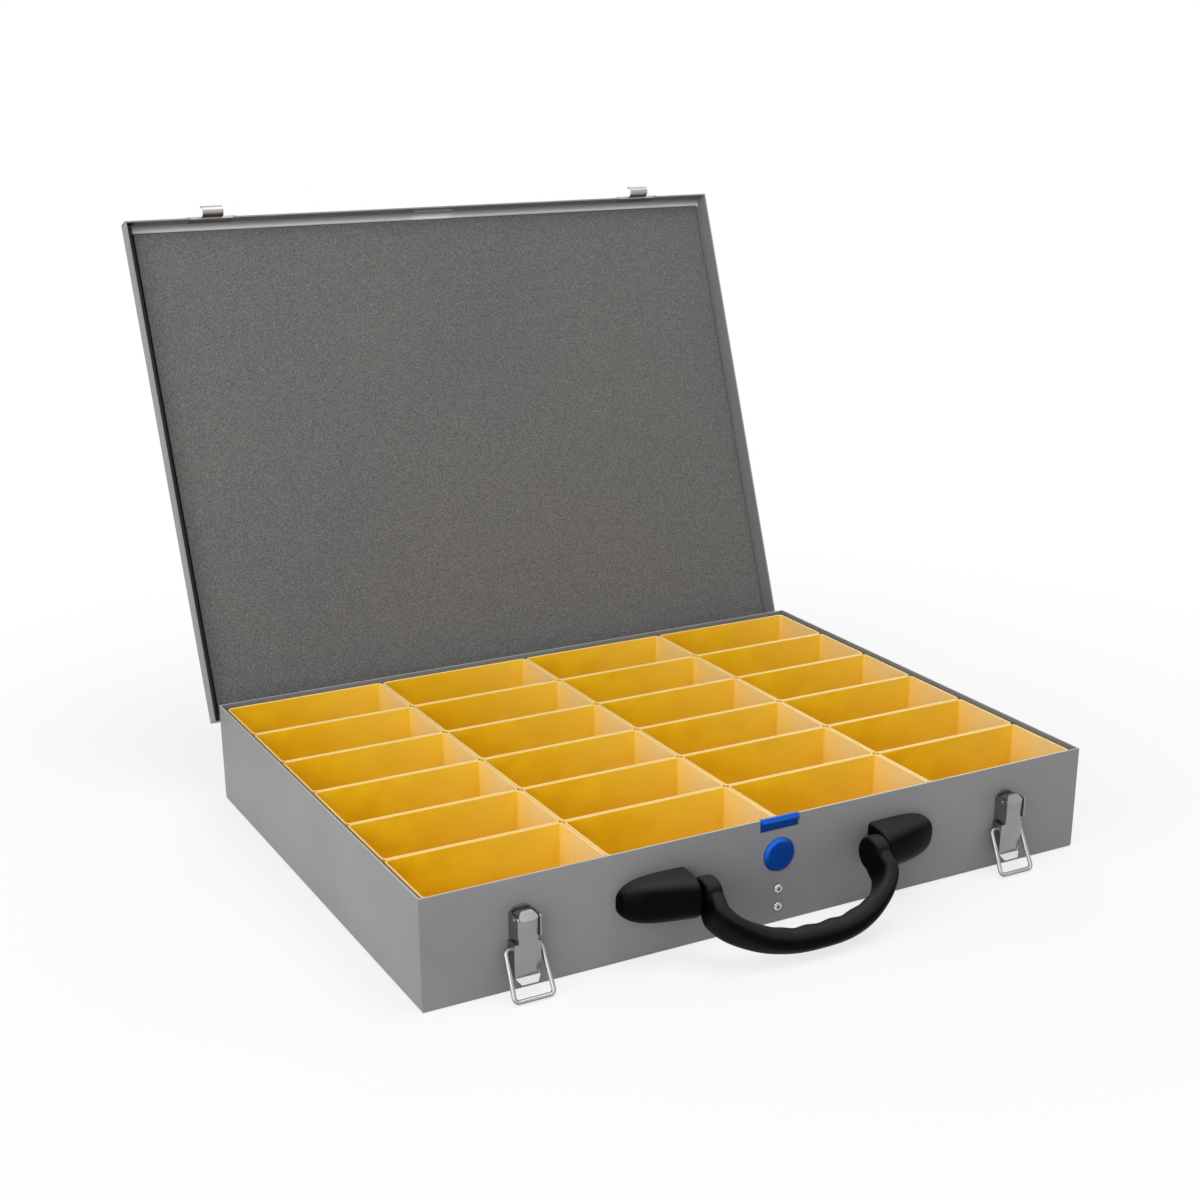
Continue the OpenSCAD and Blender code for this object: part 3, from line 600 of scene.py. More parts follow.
@dataclass(frozen=True)
class MouldedPlastic:
    """Moulded plastic with a fine spark-eroded grain, painted light on upward faces and marked
    slopes, and painted shade underneath.
    """

    name: str
    colour: Colour
    drift_colour: Colour
    # Painted light on faces turned up.
    top_light_colour: Colour
    top_light_from: float
    rough: float
    specular: float
    under_shade_span: tuple[float, float] = (-0.25, -0.9)
    under_shade_share: float = 0.75
    top_light_share: float = 0.8
    drift_scale: float = 28.0
    grain_scale: float = 2200.0
    grain_depth: float = 0.00003

    def make(self) -> bpy.types.Material:
        """Builds the material: slow drift of tone, fine grain, painted light above and painted
        shade underneath.
        """
        tree = Shader.of_material(self.name)
        place = tree.place()
        drift = tree.noise(place, self.drift_scale, detail=3.0)
        grain = tree.noise(place, self.grain_scale, detail=2.0)
        colour = tree.mix(drift.ramp(*NOISE_SPAN), self.colour, self.drift_colour)
        # Painted light on upward faces and marked slopes, and painted shade on faces turned down.
        rise = tree.facing()("Z")
        top_light = rise.ramp(self.top_light_from, 1.0) * (self.top_light_share + drift.swing(0.4))
        pale = top_light.at_least(tree.marked(Mark.SLOPE))
        colour = tree.mix(pale, colour, self.top_light_colour)
        colour = tree.mix(rise.ramp(*self.under_shade_span) * self.under_shade_share, colour, BLACK)
        rough = self.rough + drift.swing(0.12) + grain.swing(0.08)
        normal = tree.bump(grain, self.grain_depth, strength=0.5)
        return tree.surface(
            {"Specular IOR Level": self.specular},
            {"Base Color": colour, "Roughness": rough, "Normal": normal},
        )


@dataclass(frozen=True)
class BinPlastic:
    """Amber polypropylene, deep on long walls, with painted light: paler towards each bin's right,
    on its end walls and on its rims.
    """

    name: str = "amber_polypropylene"
    deep: Colour = (0.84, 0.49, 0.002)
    warm: Colour = (0.92, 0.58, 0.006)
    # Painted light: paler towards each bin's right, on the end walls, weaker low down, and on the
    # rims.
    pale: Colour = (0.87, 0.56, 0.050)
    end: Colour = (0.86, 0.65, 0.30)
    lit_end_low: Colour = (0.84, 0.50, 0.05)
    rim: Colour = (0.88, 0.63, 0.25)
    column_pitch: float = 0.108225
    row_pitch: float = 0.0538167
    end_span: tuple[float, float] = (0.018, 0.060)
    rim_span: tuple[float, float] = (0.06355, 0.06405)
    right_span: tuple[float, float] = (0.10, 1.05)
    front_span: tuple[float, float] = (1.02, 0.35)
    sideways: tuple[float, float] = (0.55, 0.95)
    upwards: tuple[float, float] = (0.05, 0.6)
    flow_span: tuple[float, float] = (0.32, 0.68)
    flow_scale: float = 42.0
    flow_stretch: tuple[float, float, float] = (1.0, 1.0, 1.4)
    haze_scale: float = 160.0
    grain_scale: float = 1900.0
    grain_depth: float = 0.00002
    rough: float = 0.46
    specular: float = 0.4

    def make(self) -> bpy.types.Material:
        """Builds the material from slow flow marks, with painted light set by the wall's direction,
        its height and its place in the bin.
        """
        tree = Shader.of_material(self.name)
        place = tree.place()
        parts, spot = tree.facing(), tree.parts(place)
        height = spot("Z")
        tall = tree.stretched(place, self.flow_stretch)
        flow = tree.noise(tall, self.flow_scale, detail=2.0, rough=0.45)
        haze = tree.noise(place, self.haze_scale, detail=3.0)
        grain = tree.noise(place, self.grain_scale, detail=1.0)
        colour = tree.mix(flow.ramp(*self.flow_span), self.deep, self.warm)
        # Painted light, paler towards the right of each bin.
        right = spot("X").within(self.column_pitch).ramp(*self.right_span)
        colour = tree.mix(right * (0.8 + haze.swing(0.4)), colour, self.pale)
        # Painted light on the end walls, weaker low down and stronger towards the front of each
        # bin.
        ends = abs(parts("X")).ramp(*self.sideways)
        lit_end = tree.mix(height.ramp(*self.end_span), self.lit_end_low, self.end)
        front = spot("Y").within(self.row_pitch).ramp(*self.front_span)
        colour = tree.mix(ends * (0.45 + 0.45 * front + haze.swing(0.2)), colour, lit_end)
        # Painted highlight on the upward rims.
        top = height.ramp(*self.rim_span) * parts("Z").ramp(*self.upwards)
        colour = tree.mix(top, colour, self.rim)
        rough = self.rough + flow.swing(0.10) + grain.swing(0.08)
        normal = tree.bump(grain, self.grain_depth, strength=0.4)
        return tree.surface(
            {"Specular IOR Level": self.specular},
            {"Base Color": colour, "Roughness": rough, "Normal": normal},
        )


@dataclass(frozen=True)
class FinishSet:
    """All finished materials by slot."""

    by_slot: dict[Slot, bpy.types.Material]

    @classmethod
    def make(cls) -> "FinishSet":
        """Builds every finish once."""
        black = MouldedPlastic(
            "black_satin_plastic",
            (0.0012, 0.0012, 0.0013),
            (0.0020, 0.0020, 0.0020),
            top_light_colour=(0.038, 0.038, 0.039),
            top_light_from=0.42,
            rough=0.34,
            specular=0.03,
        )
        blue = MouldedPlastic(
            "blue_moulded_plastic",
            (0.0012, 0.038, 0.225),
            (0.0018, 0.046, 0.265),
            top_light_colour=(0.020, 0.14, 0.68),
            top_light_from=0.15,
            rough=0.28,
            specular=0.045,
        )
        return cls(
            {
                Slot.PAINT: SheetPaint().make(),
                Slot.FOAM: FoamFinish().make(),
                Slot.BRIGHT: PlatedSteel("bright_plated_steel").make(),
                Slot.LATCH: PlatedSteel(
                    "latch_plated_steel",
                    colour=(0.305, 0.305, 0.305),
                    painted_shade_share=0.0,
                    rough=0.30,
                    stretch=(1.0, 1.0, 0.04),
                ).make(),
                Slot.BLACK: black.make(),
                Slot.BLUE: blue.make(),
                Slot.YELLOW: BinPlastic().make(),
            }
        )

    def fit(self, piece: bpy.types.Object, node: str, body: str, slot: Slot) -> bpy.types.Object:
        """Dresses a piece and puts it in the place of a CAD node.

        Args:
            piece: Object to dress.
            node: CAD node that it replaces.
            body: Body that it rides.
            slot: The record's slot, whose finish it gets.

        Returns:
            The piece.
        """
        piece.data.materials.clear()
        piece.data.materials.append(self.by_slot[slot])
        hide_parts(node)
        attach(piece, body)
        return piece

    def fit_copy(
        self, name: str, node: str, body: str, slot: Slot, width: float, segments: int = 2
    ) -> bpy.types.Object:
        """Copies a CAD node with rounded edges and fits the copy in its place.

        Args:
            name: Name of the piece.
            node: CAD node to copy and to replace.
            body: Body that the piece rides.
            slot: The record's slot.
            width: Width of the edge rounding in millimetres.
            segments: Steps over the rounding.

        Returns:
            The piece.
        """
        return self.fit(copied(name, node, width, segments), node, body, slot)


# Surfaces


def ring(count: int) -> np.ndarray:
    """Angles of a full turn in radians, evenly spaced and without the repeated last one."""
    return np.linspace(0.0, 2.0 * np.pi, count, endpoint=False)


def turned(points: np.ndarray, degrees: float, y: float, z: float) -> np.ndarray:
    """Turns points about a line along X.

    Args:
        points: Points in millimetres, three to a row.
        degrees: Angle from +Y towards +Z.
        y: Place of the line along Y.
        z: Place of the line along Z.

    Returns:
        The turned points: y and z less the line's place, times the turn, plus the place again.
    """
    a = math.radians(degrees)
    moved = np.array(points, float)
    dy, dz = moved[..., 1] - y, moved[..., 2] - z
    moved[..., 1] = y + dy * math.cos(a) - dz * math.sin(a)
    moved[..., 2] = z + dy * math.sin(a) + dz * math.cos(a)
    return moved


def ring_faces(rings: int, sides: int) -> list[list[int]]:
    """Quads between the rings of a skin.

    Args:
        rings: Number of rings.
        sides: Points in one ring.

    Returns:
        Four point numbers for each quad, from the ring, its next point, the next ring and back.
    """
    i, j = np.meshgrid(np.arange(rings - 1), np.arange(sides), indexing="ij")
    here, ahead, across = i * sides, (i + 1) * sides, (j + 1) % sides
    quads = [here + j, here + across, ahead + across, ahead + j]
    return np.stack(quads, axis=-1).reshape(-1, 4).tolist()


def linked(name: str, data: Any) -> bpy.types.Object:
    """Puts a mesh, lamp or camera into the scene as an object at the origin."""
    made = bpy.data.objects.new(name, data)
    bpy.context.scene.collection.objects.link(made)
    return made


def mesh_piece(name: str, points: np.ndarray, faces: Iterable[Sequence[int]]) -> bpy.types.Object:
    """Makes an object from points in millimetres, with its normals turned outwards.

    Args:
        name: Name of the piece.
        points: Points, three numbers to a row.
        faces: Point numbers of each face.

    Returns:
        The object, at the origin, with smooth shading.
    """
    mesh = bpy.data.meshes.new(name)
    corners = np.asarray(points, float).reshape(-1, 3) * MM
    mesh.from_pydata(corners, [], [list(map(int, face)) for face in faces])
    made = bmesh.new()
    made.from_mesh(mesh)
    bmesh.ops.remove_doubles(made, verts=made.verts, dist=SAME_POINT)
    bmesh.ops.recalc_face_normals(made, faces=made.faces)
    made.to_mesh(mesh)
    made.free()
    mesh.shade_smooth()
    return linked(name, mesh)


def skin_faces(rings: int, sides: int) -> list[list[int]]:
    """Quads over a row of rings with a flat cap at each end.

    Args:
        rings: Number of rings.
        sides: Points in one ring.

    Returns:
        All faces of the closed skin.
    """
    first = list(range(sides))
    last = list(range((rings - 1) * sides, rings * sides))
    return ring_faces(rings, sides) + [first[::-1], last]


def joined(
    skins: Iterable[np.ndarray], faces_of: Callable[[int, int], list[list[int]]]
) -> tuple[np.ndarray, list[list[int]]]:
    """Several skins of rings as one set of points and faces.

    Args:
        skins: Points of each skin, as rings by sides by three.
        faces_of: What gives a skin's faces from its number of rings and of sides.

    Returns:
        The points, three to a row, and the faces, whose numbers run on from skin to skin.
    """
    points: list[np.ndarray] = []
    faces: list[list[int]] = []
    count = 0
    for skin in skins:
        faces += [[number + count for number in face] for face in faces_of(*skin.shape[:2])]
        points.append(skin.reshape(-1, 3))
        count += len(points[-1])
    return np.concatenate(points), faces


def sharpen(piece: bpy.types.Object, degrees: float = 35.0) -> None:
    """Keeps edges steeper than an angle sharp on a smooth piece."""
    piece.data.shade_smooth()
    piece.data.set_sharp_from_angle(angle=math.radians(degrees))


def bevel(piece: bpy.types.Object, width: float, segments: int) -> None:
    """Rounds the sharp edges of a piece with a Bevel modifier and keeps its flats flat.

    Args:
        piece: Piece to round.
        width: Width of the rounding in millimetres.
        segments: Steps over the rounding.
    """
    rounding = piece.modifiers.new("rounding", "BEVEL")
    rounding.width = width * MM
    rounding.segments = segments
    rounding.limit_method = "ANGLE"
    rounding.angle_limit = math.radians(ROUNDED_FROM)
    rounding.use_clamp_overlap = True
    rounding.harden_normals = True


def copied(name: str, node: str, width: float, segments: int = 2) -> bpy.types.Object:
    """Copies a CAD node into a clean mesh with rounded edges.

    Args:
        name: Name of the new piece.
        node: CAD node to copy.
        width: Width of the edge rounding in millimetres.
        segments: Steps over the rounding.

    Returns:
        The new piece, merged and with its flat faces joined.
    """
    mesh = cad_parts[node].data.copy()
    mesh.name = name
    made = bmesh.new()
    made.from_mesh(mesh)
    bmesh.ops.remove_doubles(made, verts=made.verts, dist=SAME_CORNER)
    bmesh.ops.dissolve_limit(
        made,
        angle_limit=math.radians(ONE_FLAT),
        verts=made.verts,
        edges=made.edges,
        delimit=set(),
    )
    made.to_mesh(mesh)
    made.free()
    piece = linked(name, mesh)
    sharpen(piece)
    bevel(piece, width, segments)
    return piece


def mark_faces(piece: bpy.types.Object, mark: Mark, share: np.ndarray) -> None:
    """Writes one number for each face of a piece, which its finish reads.

    Args:
        piece: Piece to mark.
        mark: What the number says.
        share: One number for each face, from 0 to 1.
    """
    layer = piece.data.attributes.new(mark.value, "FLOAT", "FACE")
    layer.data.foreach_set("value", np.asarray(share, np.float32))


def face_vectors(piece: bpy.types.Object, kind: str) -> np.ndarray:
    """One vector for each face of a piece, its "normal" or its "center", three to a row."""
    flat = np.zeros(len(piece.data.polygons) * 3)
    piece.data.polygons.foreach_get(kind, flat)
    return flat.reshape(-1, 3)


def face_sides(piece: bpy.types.Object) -> np.ndarray:
    """Outward directions of the piece's faces, three to a row."""
    return face_vectors(piece, "normal")


def face_middles(piece: bpy.types.Object) -> np.ndarray:
    """Middles of the piece's faces in millimetres, three to a row."""
    return face_vectors(piece, "center") / MM


def swept(path: np.ndarray, radius: float, sides: int) -> np.ndarray:
    """Round section carried along a path that lies in a plane of constant Y.

    A ring's points are the path's point plus radius times (cosine of the angle times the path's
    normal in the plane, plus sine of the angle times the Y axis).

    Args:
        path: Points of the centreline, three to a row.
        radius: Radius of the section.
        sides: Points in one ring.

    Returns:
        Points as rings by sides by three.
    """
    along = np.gradient(path, axis=0)
    along /= np.linalg.norm(along, axis=1, keepdims=True)
    across = np.array([0.0, 1.0, 0.0])
    normal = np.cross(along, across)
    a = ring(sides)
    section = np.cos(a)[None, :, None] * normal[:, None, :] + np.sin(a)[None, :, None] * across
    return path[:, None, :] + radius * section


def revolved(profile: np.ndarray, centre: Sequence[float], axis: Vector, sides: int) -> np.ndarray:
    """Profile turned about an axis.

    A point is the centre plus the profile's height along the axis, plus its radius times (cosine
    of the angle times one cross direction, plus sine of the angle times the other).

    Args:
        profile: (radius, height) pairs, one to a row.
        centre: Foot of the axis.
        axis: Direction of the axis.
        sides: Points in one ring.

    Returns:
        Points as profile steps by sides by three.
    """
    up = np.array(axis.normalized())
    first = np.array(axis.orthogonal().normalized())
    second = np.cross(up, first)
    a = ring(sides)
    spread = np.cos(a)[:, None] * first + np.sin(a)[:, None] * second
    rise = profile[:, 1][:, None, None] * up
    return np.asarray(centre, float) + rise + profile[:, 0][:, None, None] * spread


def signed_power(value: np.ndarray, power: float) -> np.ndarray:
    """Power of the value's size with its sign kept."""
    return np.sign(value) * np.abs(value) ** power


# Sub-assemblies


@dataclass
class SheetWork:
    """The folded case and lid."""

    finishes: FinishSet
    edge_round: float = 0.22
    rim_band: float = 0.05
    case_top: float = 66.0
    lid_rim: float = 56.0
    side_rim: float = 218.0
    skirt_y: float = 165.5
    skirt_band: float = 0.3
    under: float = 65.0
    straight: float = 0.9
    front_wear: float = 0.15

    def case(self) -> bpy.types.Object:
        """Builds the case with rounded sheet edges, worn along the rim of its walls."""
        piece = copied("case_sheet", "case_base", self.edge_round)
        rim = np.abs(face_middles(piece)[:, 2] - self.case_top) < self.rim_band
        mark_faces(piece, Mark.EDGE_WEAR, rim)
        return self.finishes.fit(piece, "case_base", "case", Slot.PAINT)

    def lid(self) -> bpy.types.Object:
        """Builds the lid: its rim worn, most at the sides, and its inner faces marked for painted
        shade and a painted reflection.
        """
        piece = copied("lid_sheet", "lid_shell", self.edge_round)
        closed = LID.close(face_middles(piece))
        rim = np.abs(closed[:, 2] - self.lid_rim) < self.rim_band
        share = np.where(np.abs(closed[:, 0]) > self.side_rim, 1.0, self.front_wear)
        outward = turned(face_sides(piece), LID.angle, 0.0, 0.0)
        front = np.abs(closed[:, 1] + self.skirt_y) < self.skirt_band
        skirt = (outward[:, 1] > self.straight) & front
        top = (outward[:, 2] < -self.straight) & (closed[:, 2] > self.under)
        mark_faces(piece, Mark.LINER_SIDE, skirt | top)
        mark_faces(piece, Mark.EDGE_WEAR, rim * share)
        return self.finishes.fit(piece, "lid_shell", "lid", Slot.PAINT)

    def build(self) -> list[bpy.types.Object]:
        """Builds the case and the lid."""
        return [self.case(), self.lid()]


@dataclass
class FoamLiner:
    """Foam sheet glued into the lid: a plate with soft edges and a slightly uneven face."""

    finishes: FinishSet
    half_w: float = 217.3
    left_w: float = 215.3
    half_d: float = 160.3
    corner: float = 2.0
    thick: float = 2.3
    edge: float = 0.9
    under: float = 67.0
    sink: float = 0.08
    swell: float = 0.04
    wave: tuple[float, float] = (41.0, 33.0)
    ripple: tuple[float, float] = (17.0, 23.0)
    ripple_share: float = 0.6
    closer: float = 0.9
    across: int = 150
    deep: int = 110

    def build(self) -> bpy.types.Object:
        """Builds the liner.

        The face is a grid over the plate, closer towards its edges. Its height is the thickness,
        less a quarter circle over the outer edge, plus a low wave made of three sines. The foot is
        the same grid, flat. The sheet is cut a little short on its left, as the photograph shows
        it.
        """
        u = np.linspace(-1.0, 1.0, self.across)
        v = np.linspace(-1.0, 1.0, self.deep)
        wide = np.where(u < 0.0, self.left_w, self.half_w)[:, None]
        x = signed_power(np.sin(u * np.pi / 2), self.closer)[:, None] * wide
        y = signed_power(np.sin(v * np.pi / 2), self.closer)[None, :] * self.half_d
        x, y = np.broadcast_arrays(x, y)
        inset = np.minimum(wide - np.abs(x), self.half_d - np.abs(y))
        bite = np.clip(1.0 - inset / self.edge, 0.0, 1.0)
        wave = np.sin(x / self.wave[0]) * np.sin(y / self.wave[1])
        ripple = np.sin(x / self.ripple[0] + y / self.ripple[1])
        rounding = self.edge * (1.0 - np.sqrt(1.0 - bite**2))
        uneven = self.swell * (wave + self.ripple_share * ripple)
        height = self.thick - self.sink - rounding + uneven
        face = np.stack([x, y, self.under - height], axis=-1)
        foot = np.stack([x, y, np.full_like(x, self.under)], axis=-1)
        points = np.concatenate([face.reshape(-1, 3), foot.reshape(-1, 3)])
        piece = mesh_piece("foam_liner", LID.open(points), self.faces())
        self.finishes.fit(piece, "lid_foam", "lid", Slot.FOAM)
        return piece

    def faces(self) -> list[list[int]]:
        """Quads of the face, the foot and the four sides."""
        a, d = self.across, self.deep
        n = np.arange(a * d).reshape(a, d)
        face = np.stack([n[:-1, :-1], n[1:, :-1], n[1:, 1:], n[:-1, 1:]], axis=-1).reshape(-1, 4)
        border = np.concatenate([n[:-1, 0], n[-1, :-1], n[:0:-1, -1], n[0, :0:-1]])
        after = np.roll(border, -1)
        sides = np.stack([border, after, after + a * d, border + a * d], axis=-1)
        return np.concatenate([face, face[:, ::-1] + a * d, sides]).tolist()


@dataclass
class BinGrid:
    """The lift-out bins: drafted trays with rounded corners, rims and floor fillets."""

    finishes: FinishSet
    columns: int = 4
    rows: int = 6
    w: float = 107.925
    d: float = 53.516667
    h: float = 63.15
    gap: float = 0.3
    wall: float = 1.4
    corner: float = 2.4
    flare: float = 1.1023
    floor: float = 1.0
    foot_round: float = 0.8
    rim_round: float = 0.45
    inner_round: float = 2.0
    corner_steps: int = 7
    arc_steps: int = 6
    crease: float = 50.0

    def profile(self) -> np.ndarray:
        """Section of a wall as (distance from the corner centre, height), from foot to floor.

        The outer wall runs from a quarter circle at the foot up to the rim, where two quarter
        circles make the edge round, and the inner wall runs down to a quarter circle on the floor.
        """
        outer_low = self.corner
        outer_top = self.corner + self.flare
        inner_top = self.corner - self.wall + self.flare * (self.h - self.wall) / self.h
        inner_low = self.corner - self.wall
        quarter = np.linspace(0.0, np.pi / 2, self.arc_steps)
        c, s = np.cos(quarter), np.sin(quarter)
        f, r, n = self.foot_round, self.rim_round, min(self.inner_round, inner_low * 0.98)
        foot = np.stack([outer_low - f + f * s, f - f * c], axis=-1)
        outer = np.stack([outer_top - r + r * c, self.h - r + r * s], axis=-1)
        inner = np.stack([inner_top + r - r * s, self.h - r + r * c], axis=-1)
        fillet = np.stack([inner_low - n + n * c, self.wall + n - n * s], axis=-1)
        return np.concatenate([foot, outer, inner, fillet])

    def directions(self) -> tuple[np.ndarray, np.ndarray]:
        """Corner centres and outward directions round the tray, one row each."""
        quarter = np.linspace(0.0, np.pi / 2, self.corner_steps)
        angles = np.concatenate([quarter + k * np.pi / 2 for k in range(4)])
        corners = np.array([[1.0, 1.0], [-1.0, 1.0], [-1.0, -1.0], [1.0, -1.0]])
        signs = np.repeat(corners, self.corner_steps, axis=0)
        reach = np.array([self.w, self.d]) / 2 - self.flare - self.corner
        return signs * reach, np.stack([np.cos(angles), np.sin(angles)], axis=-1)

    def tray(self, column: int, row: int) -> bpy.types.Object:
        """Builds one bin.

        A point is the corner's centre plus its outward direction times the profile's distance, at
        the profile's height.

        Args:
            column: Column from the left, from 0.
            row: Row from the front, from 0.

        Returns:
            The bin.
        """
        centres, outward = self.directions()
        section = self.profile()
        level = centres[None] + section[:, 0][:, None, None] * outward[None]
        height = np.broadcast_to(section[:, 1][:, None, None], (*level.shape[:2], 1))
        points = np.concatenate([level, height], axis=-1)
        x = (column - (self.columns - 1) / 2) * (self.w + self.gap)
        y = (row - (self.rows - 1) / 2) * (self.d + self.gap)
        place = f"{column + 1}_{row + 1}"
        faces = skin_faces(len(section), len(outward))
        piece = mesh_piece(f"tray_{place}", points + np.array([x, y, self.floor]), faces)
        sharpen(piece, self.crease)
        return self.finishes.fit(piece, f"bin_{place}", f"bin_{place}", Slot.YELLOW)

    def build(self) -> list[bpy.types.Object]:
        """Builds all bins."""
        return [self.tray(c, r) for c in range(self.columns) for r in range(self.rows)]


@dataclass
class Handle:
    """Two moulded housings and the swinging grip between them."""

    finishes: FinishSet
    front: float = -165.0
    housing_x: float = 61.7
    housing_l: float = 44.0
    housing_h: float = 27.0
    housing_mid: float = 36.0
    housing_out: float = 21.5
    housing_taper: float = 10.0
    end_round: float = 2.5
    nose_end: float = 0.995
    nose_rise: float = 1.0
    nose_high: tuple[float, float] = (4.5, 2.4)
    nose_out: tuple[float, float] = (6.0, 2.5)
    oval: tuple[float, float] = (0.8, 0.62)
    housing_rings: int = 64
    housing_sides: int = 61
    crease: float = 55.0
    pivot_out: float = 15.0
    pivot_z: float = 37.2
    reach: float = 38.3
    palm_w: float = 15.0
    palm_t: float = 13.0
    knuckle_d: float = 21.6
    knuckle_l: float = 10.4
    knuckle_edge: float = 3.0
    knuckle_rings: int = 17
    knuckle_sides: int = 72
    pin_round: float = 0.3
    run_gap: float = 0.3
    lean: float = 48.1
    groove: float = 0.9
    pitch: float = 17.0
    groove_end: float = 38.0
    glance: float = 0.02
    steps: int = 14
    sides: int = 44
    cell: float = 0.55
    smoothing: int = 5

    @property
    def knuckle_x(self) -> float:
        """Place of a knuckle's middle from the middle of the handle."""
        return self.housing_x - self.run_gap - self.knuckle_l / 2

    def housing(self, side: Side) -> bpy.types.Object:
        """Builds one housing.

        With u from 0 at the grip to 1 at the nose, half the height and the depth each fall as one
        less a power of u, all to a root, and the ring is a half oval on powers of cosine and sine.

        Args:
            side: Side of the case.

        Returns:
            The housing.
        """
        v = np.linspace(0.0, 1.0, self.housing_rings)
        u = self.nose_end * (0.5 - 0.5 * np.cos(np.pi * v))
        a = np.linspace(0.0, np.pi, self.housing_sides)
        lost = np.clip(1.0 - u * self.housing_l / self.end_round, 0.0, 1.0)
        rounding = self.end_round * (1.0 - np.sqrt(1.0 - lost**2))
        high, out = (
            (1.0 - u**power) ** (1 / root) for power, root in (self.nose_high, self.nose_out)
        )
        half = self.housing_h / 2 * high - rounding
        depth = (self.housing_out - self.housing_taper * u) * out - rounding
        x = np.broadcast_to((self.housing_x + self.housing_l * u)[:, None], (len(u), len(a)))
        y = self.front - depth[:, None] * signed_power(np.sin(a), self.oval[1])
        middle = self.housing_mid + self.nose_rise * u[:, None]
        z = middle + half[:, None] * signed_power(np.cos(a), self.oval[0])
        points = np.stack([x * side.value, y, z], axis=-1)
        piece = mesh_piece(f"housing_{side.word}", points, skin_faces(len(u), len(a)))
        sharpen(piece, self.crease)
        return self.finishes.fit(piece, f"handle_housing_{side.word}", "case", Slot.BLACK)

    def bow(self) -> np.ndarray:
        """Knots of the grip, from left to right.

        Each is (x, reach, half width, half thickness, roundness of the section).
        """
        x = self.knuckle_x
        w, t, arm = self.palm_w / 2, self.palm_t / 2, self.knuckle_l / 2 - 0.2
        right = np.array(
            [
                [x, 1.0, arm, self.knuckle_d / 2 - 0.8, 0.5],
                [x, 7.5, arm, self.knuckle_d / 2 - 0.2, 0.5],
                [x - 0.4, 15.0, arm + 0.2, t + 4.3, 0.5],
                [x - 7.8, 24.5, w - 2.2, t + 3.8, 0.6],
                [x - 21.8, self.reach - 5.5, w - 0.9, t + 1.7, 0.7],
                [x - 38.0, self.reach - 1.0, w - 0.2, t + 0.2, 0.85],
            ]
        )
        left = right * np.array([-1.0, 1.0, 1.0, 1.0, 1.0])
        middle = np.array([[0.0, self.reach, w, t, 0.9]])
        return np.concatenate([left, middle, right[::-1]])

    def curve(self, knots: np.ndarray, t: np.ndarray) -> np.ndarray:
        """Smooth curve through the knots.

        Between two knots it is the cubic whose slope at each is half the step between its
        neighbours.

        Args:
            knots: Knots, one to a row.
            t: Places counted in knots.

        Returns:
            The curve's values, one row for each place.
        """
        i = np.minimum(t.astype(int), len(knots) - 2)
        v = (t - i)[:, None]
        padded = np.concatenate([[2 * knots[0] - knots[1]], knots, [2 * knots[-1] - knots[-2]]])
        p0, p1, p2, p3 = (padded[i + k] for k in range(4))
        cubic = 3 * p1 - p0 - 3 * p2 + p3
        square = 2 * p0 - 5 * p1 + 4 * p2 - p3
        return 0.5 * (2 * p1 + (p2 - p0) * v + square * v**2 + cubic * v**3)

    def arm_points(self) -> np.ndarray:
        """Rings of the grip's bow, lying in the plane of X and its reach.

        A ring's point is the curve's point plus the half width times a power of cosine across the
        curve, and the half thickness times a power of sine out of the plane. The curve's direction
        is the step from a glance behind to a glance ahead. Finger grooves press the inner side in
        by half of one plus a cosine of x, and fade out with its fourth power.
        """
        knots = self.bow()
        t = np.linspace(0.0, len(knots) - 1.0, (len(knots) - 1) * self.steps + 1)
        here = self.curve(knots, t)
        ahead = self.curve(knots, np.minimum(t + self.glance, t[-1]))
        behind = self.curve(knots, np.maximum(t - self.glance, 0.0))
        along = (ahead - behind)[:, :2]
        along /= np.linalg.norm(along, axis=1, keepdims=True)
        side = np.stack([-along[:, 1], along[:, 0]], axis=-1)
        a = ring(self.sides)
        c, s = np.cos(a)[None, :], np.sin(a)[None, :]
        x = here[:, 0]
        fade = np.clip(1.0 - (x / self.groove_end) ** 4, 0.0, 1.0)
        dip = self.groove * fade * (0.5 + 0.5 * np.cos(2 * np.pi * x / self.pitch))
        inner = dip[:, None] * np.clip(-c, 0.0, 1.0)
        power = here[:, 4][:, None]
        w = here[:, 2][:, None] * signed_power(c, power) + inner
        out = here[:, 3][:, None] * signed_power(s, power)
        across = x[:, None] + side[:, 0][:, None] * w
        down = here[:, 1][:, None] + side[:, 1][:, None] * w
        return np.stack([across, out, -down], axis=-1)

    def knuckle_points(self, x: float) -> np.ndarray:
        """Round end of the grip: a disc with soft edges, turned about X.

        Args:
            x: Place of its middle.

        Returns:
            Points as rings by sides by three, about the pivot.
        """
        edge = self.knuckle_edge
        flat, r = self.knuckle_l / 2 - edge, self.knuckle_d / 2 - edge
        a = np.linspace(-np.pi / 2, np.pi / 2, self.knuckle_rings)
        rim = np.stack([r + edge * np.cos(a), np.sign(a) * flat + edge * np.sin(a)], axis=-1)
        return revolved(rim, (x, 0.0, 0.0), Vector((1.0, 0.0, 0.0)), self.knuckle_sides)

    def grip(self) -> bpy.types.Object:
        """Builds the grip: bow and knuckles, melted together by a fine remesh and smoothed."""
        knuckles = [self.knuckle_points(x) for x in (-self.knuckle_x, self.knuckle_x)]
        points, faces = joined([self.arm_points(), *knuckles], skin_faces)
        hung = turned(points, -self.lean, 0.0, 0.0)
        placed = hung + np.array([0.0, self.front - self.pivot_out, self.pivot_z])
        piece = mesh_piece("carry_grip", placed, faces)
        melted(piece, self.cell, self.smoothing)
        return self.finishes.fit(piece, "handle_grip", "grip", Slot.BLACK)

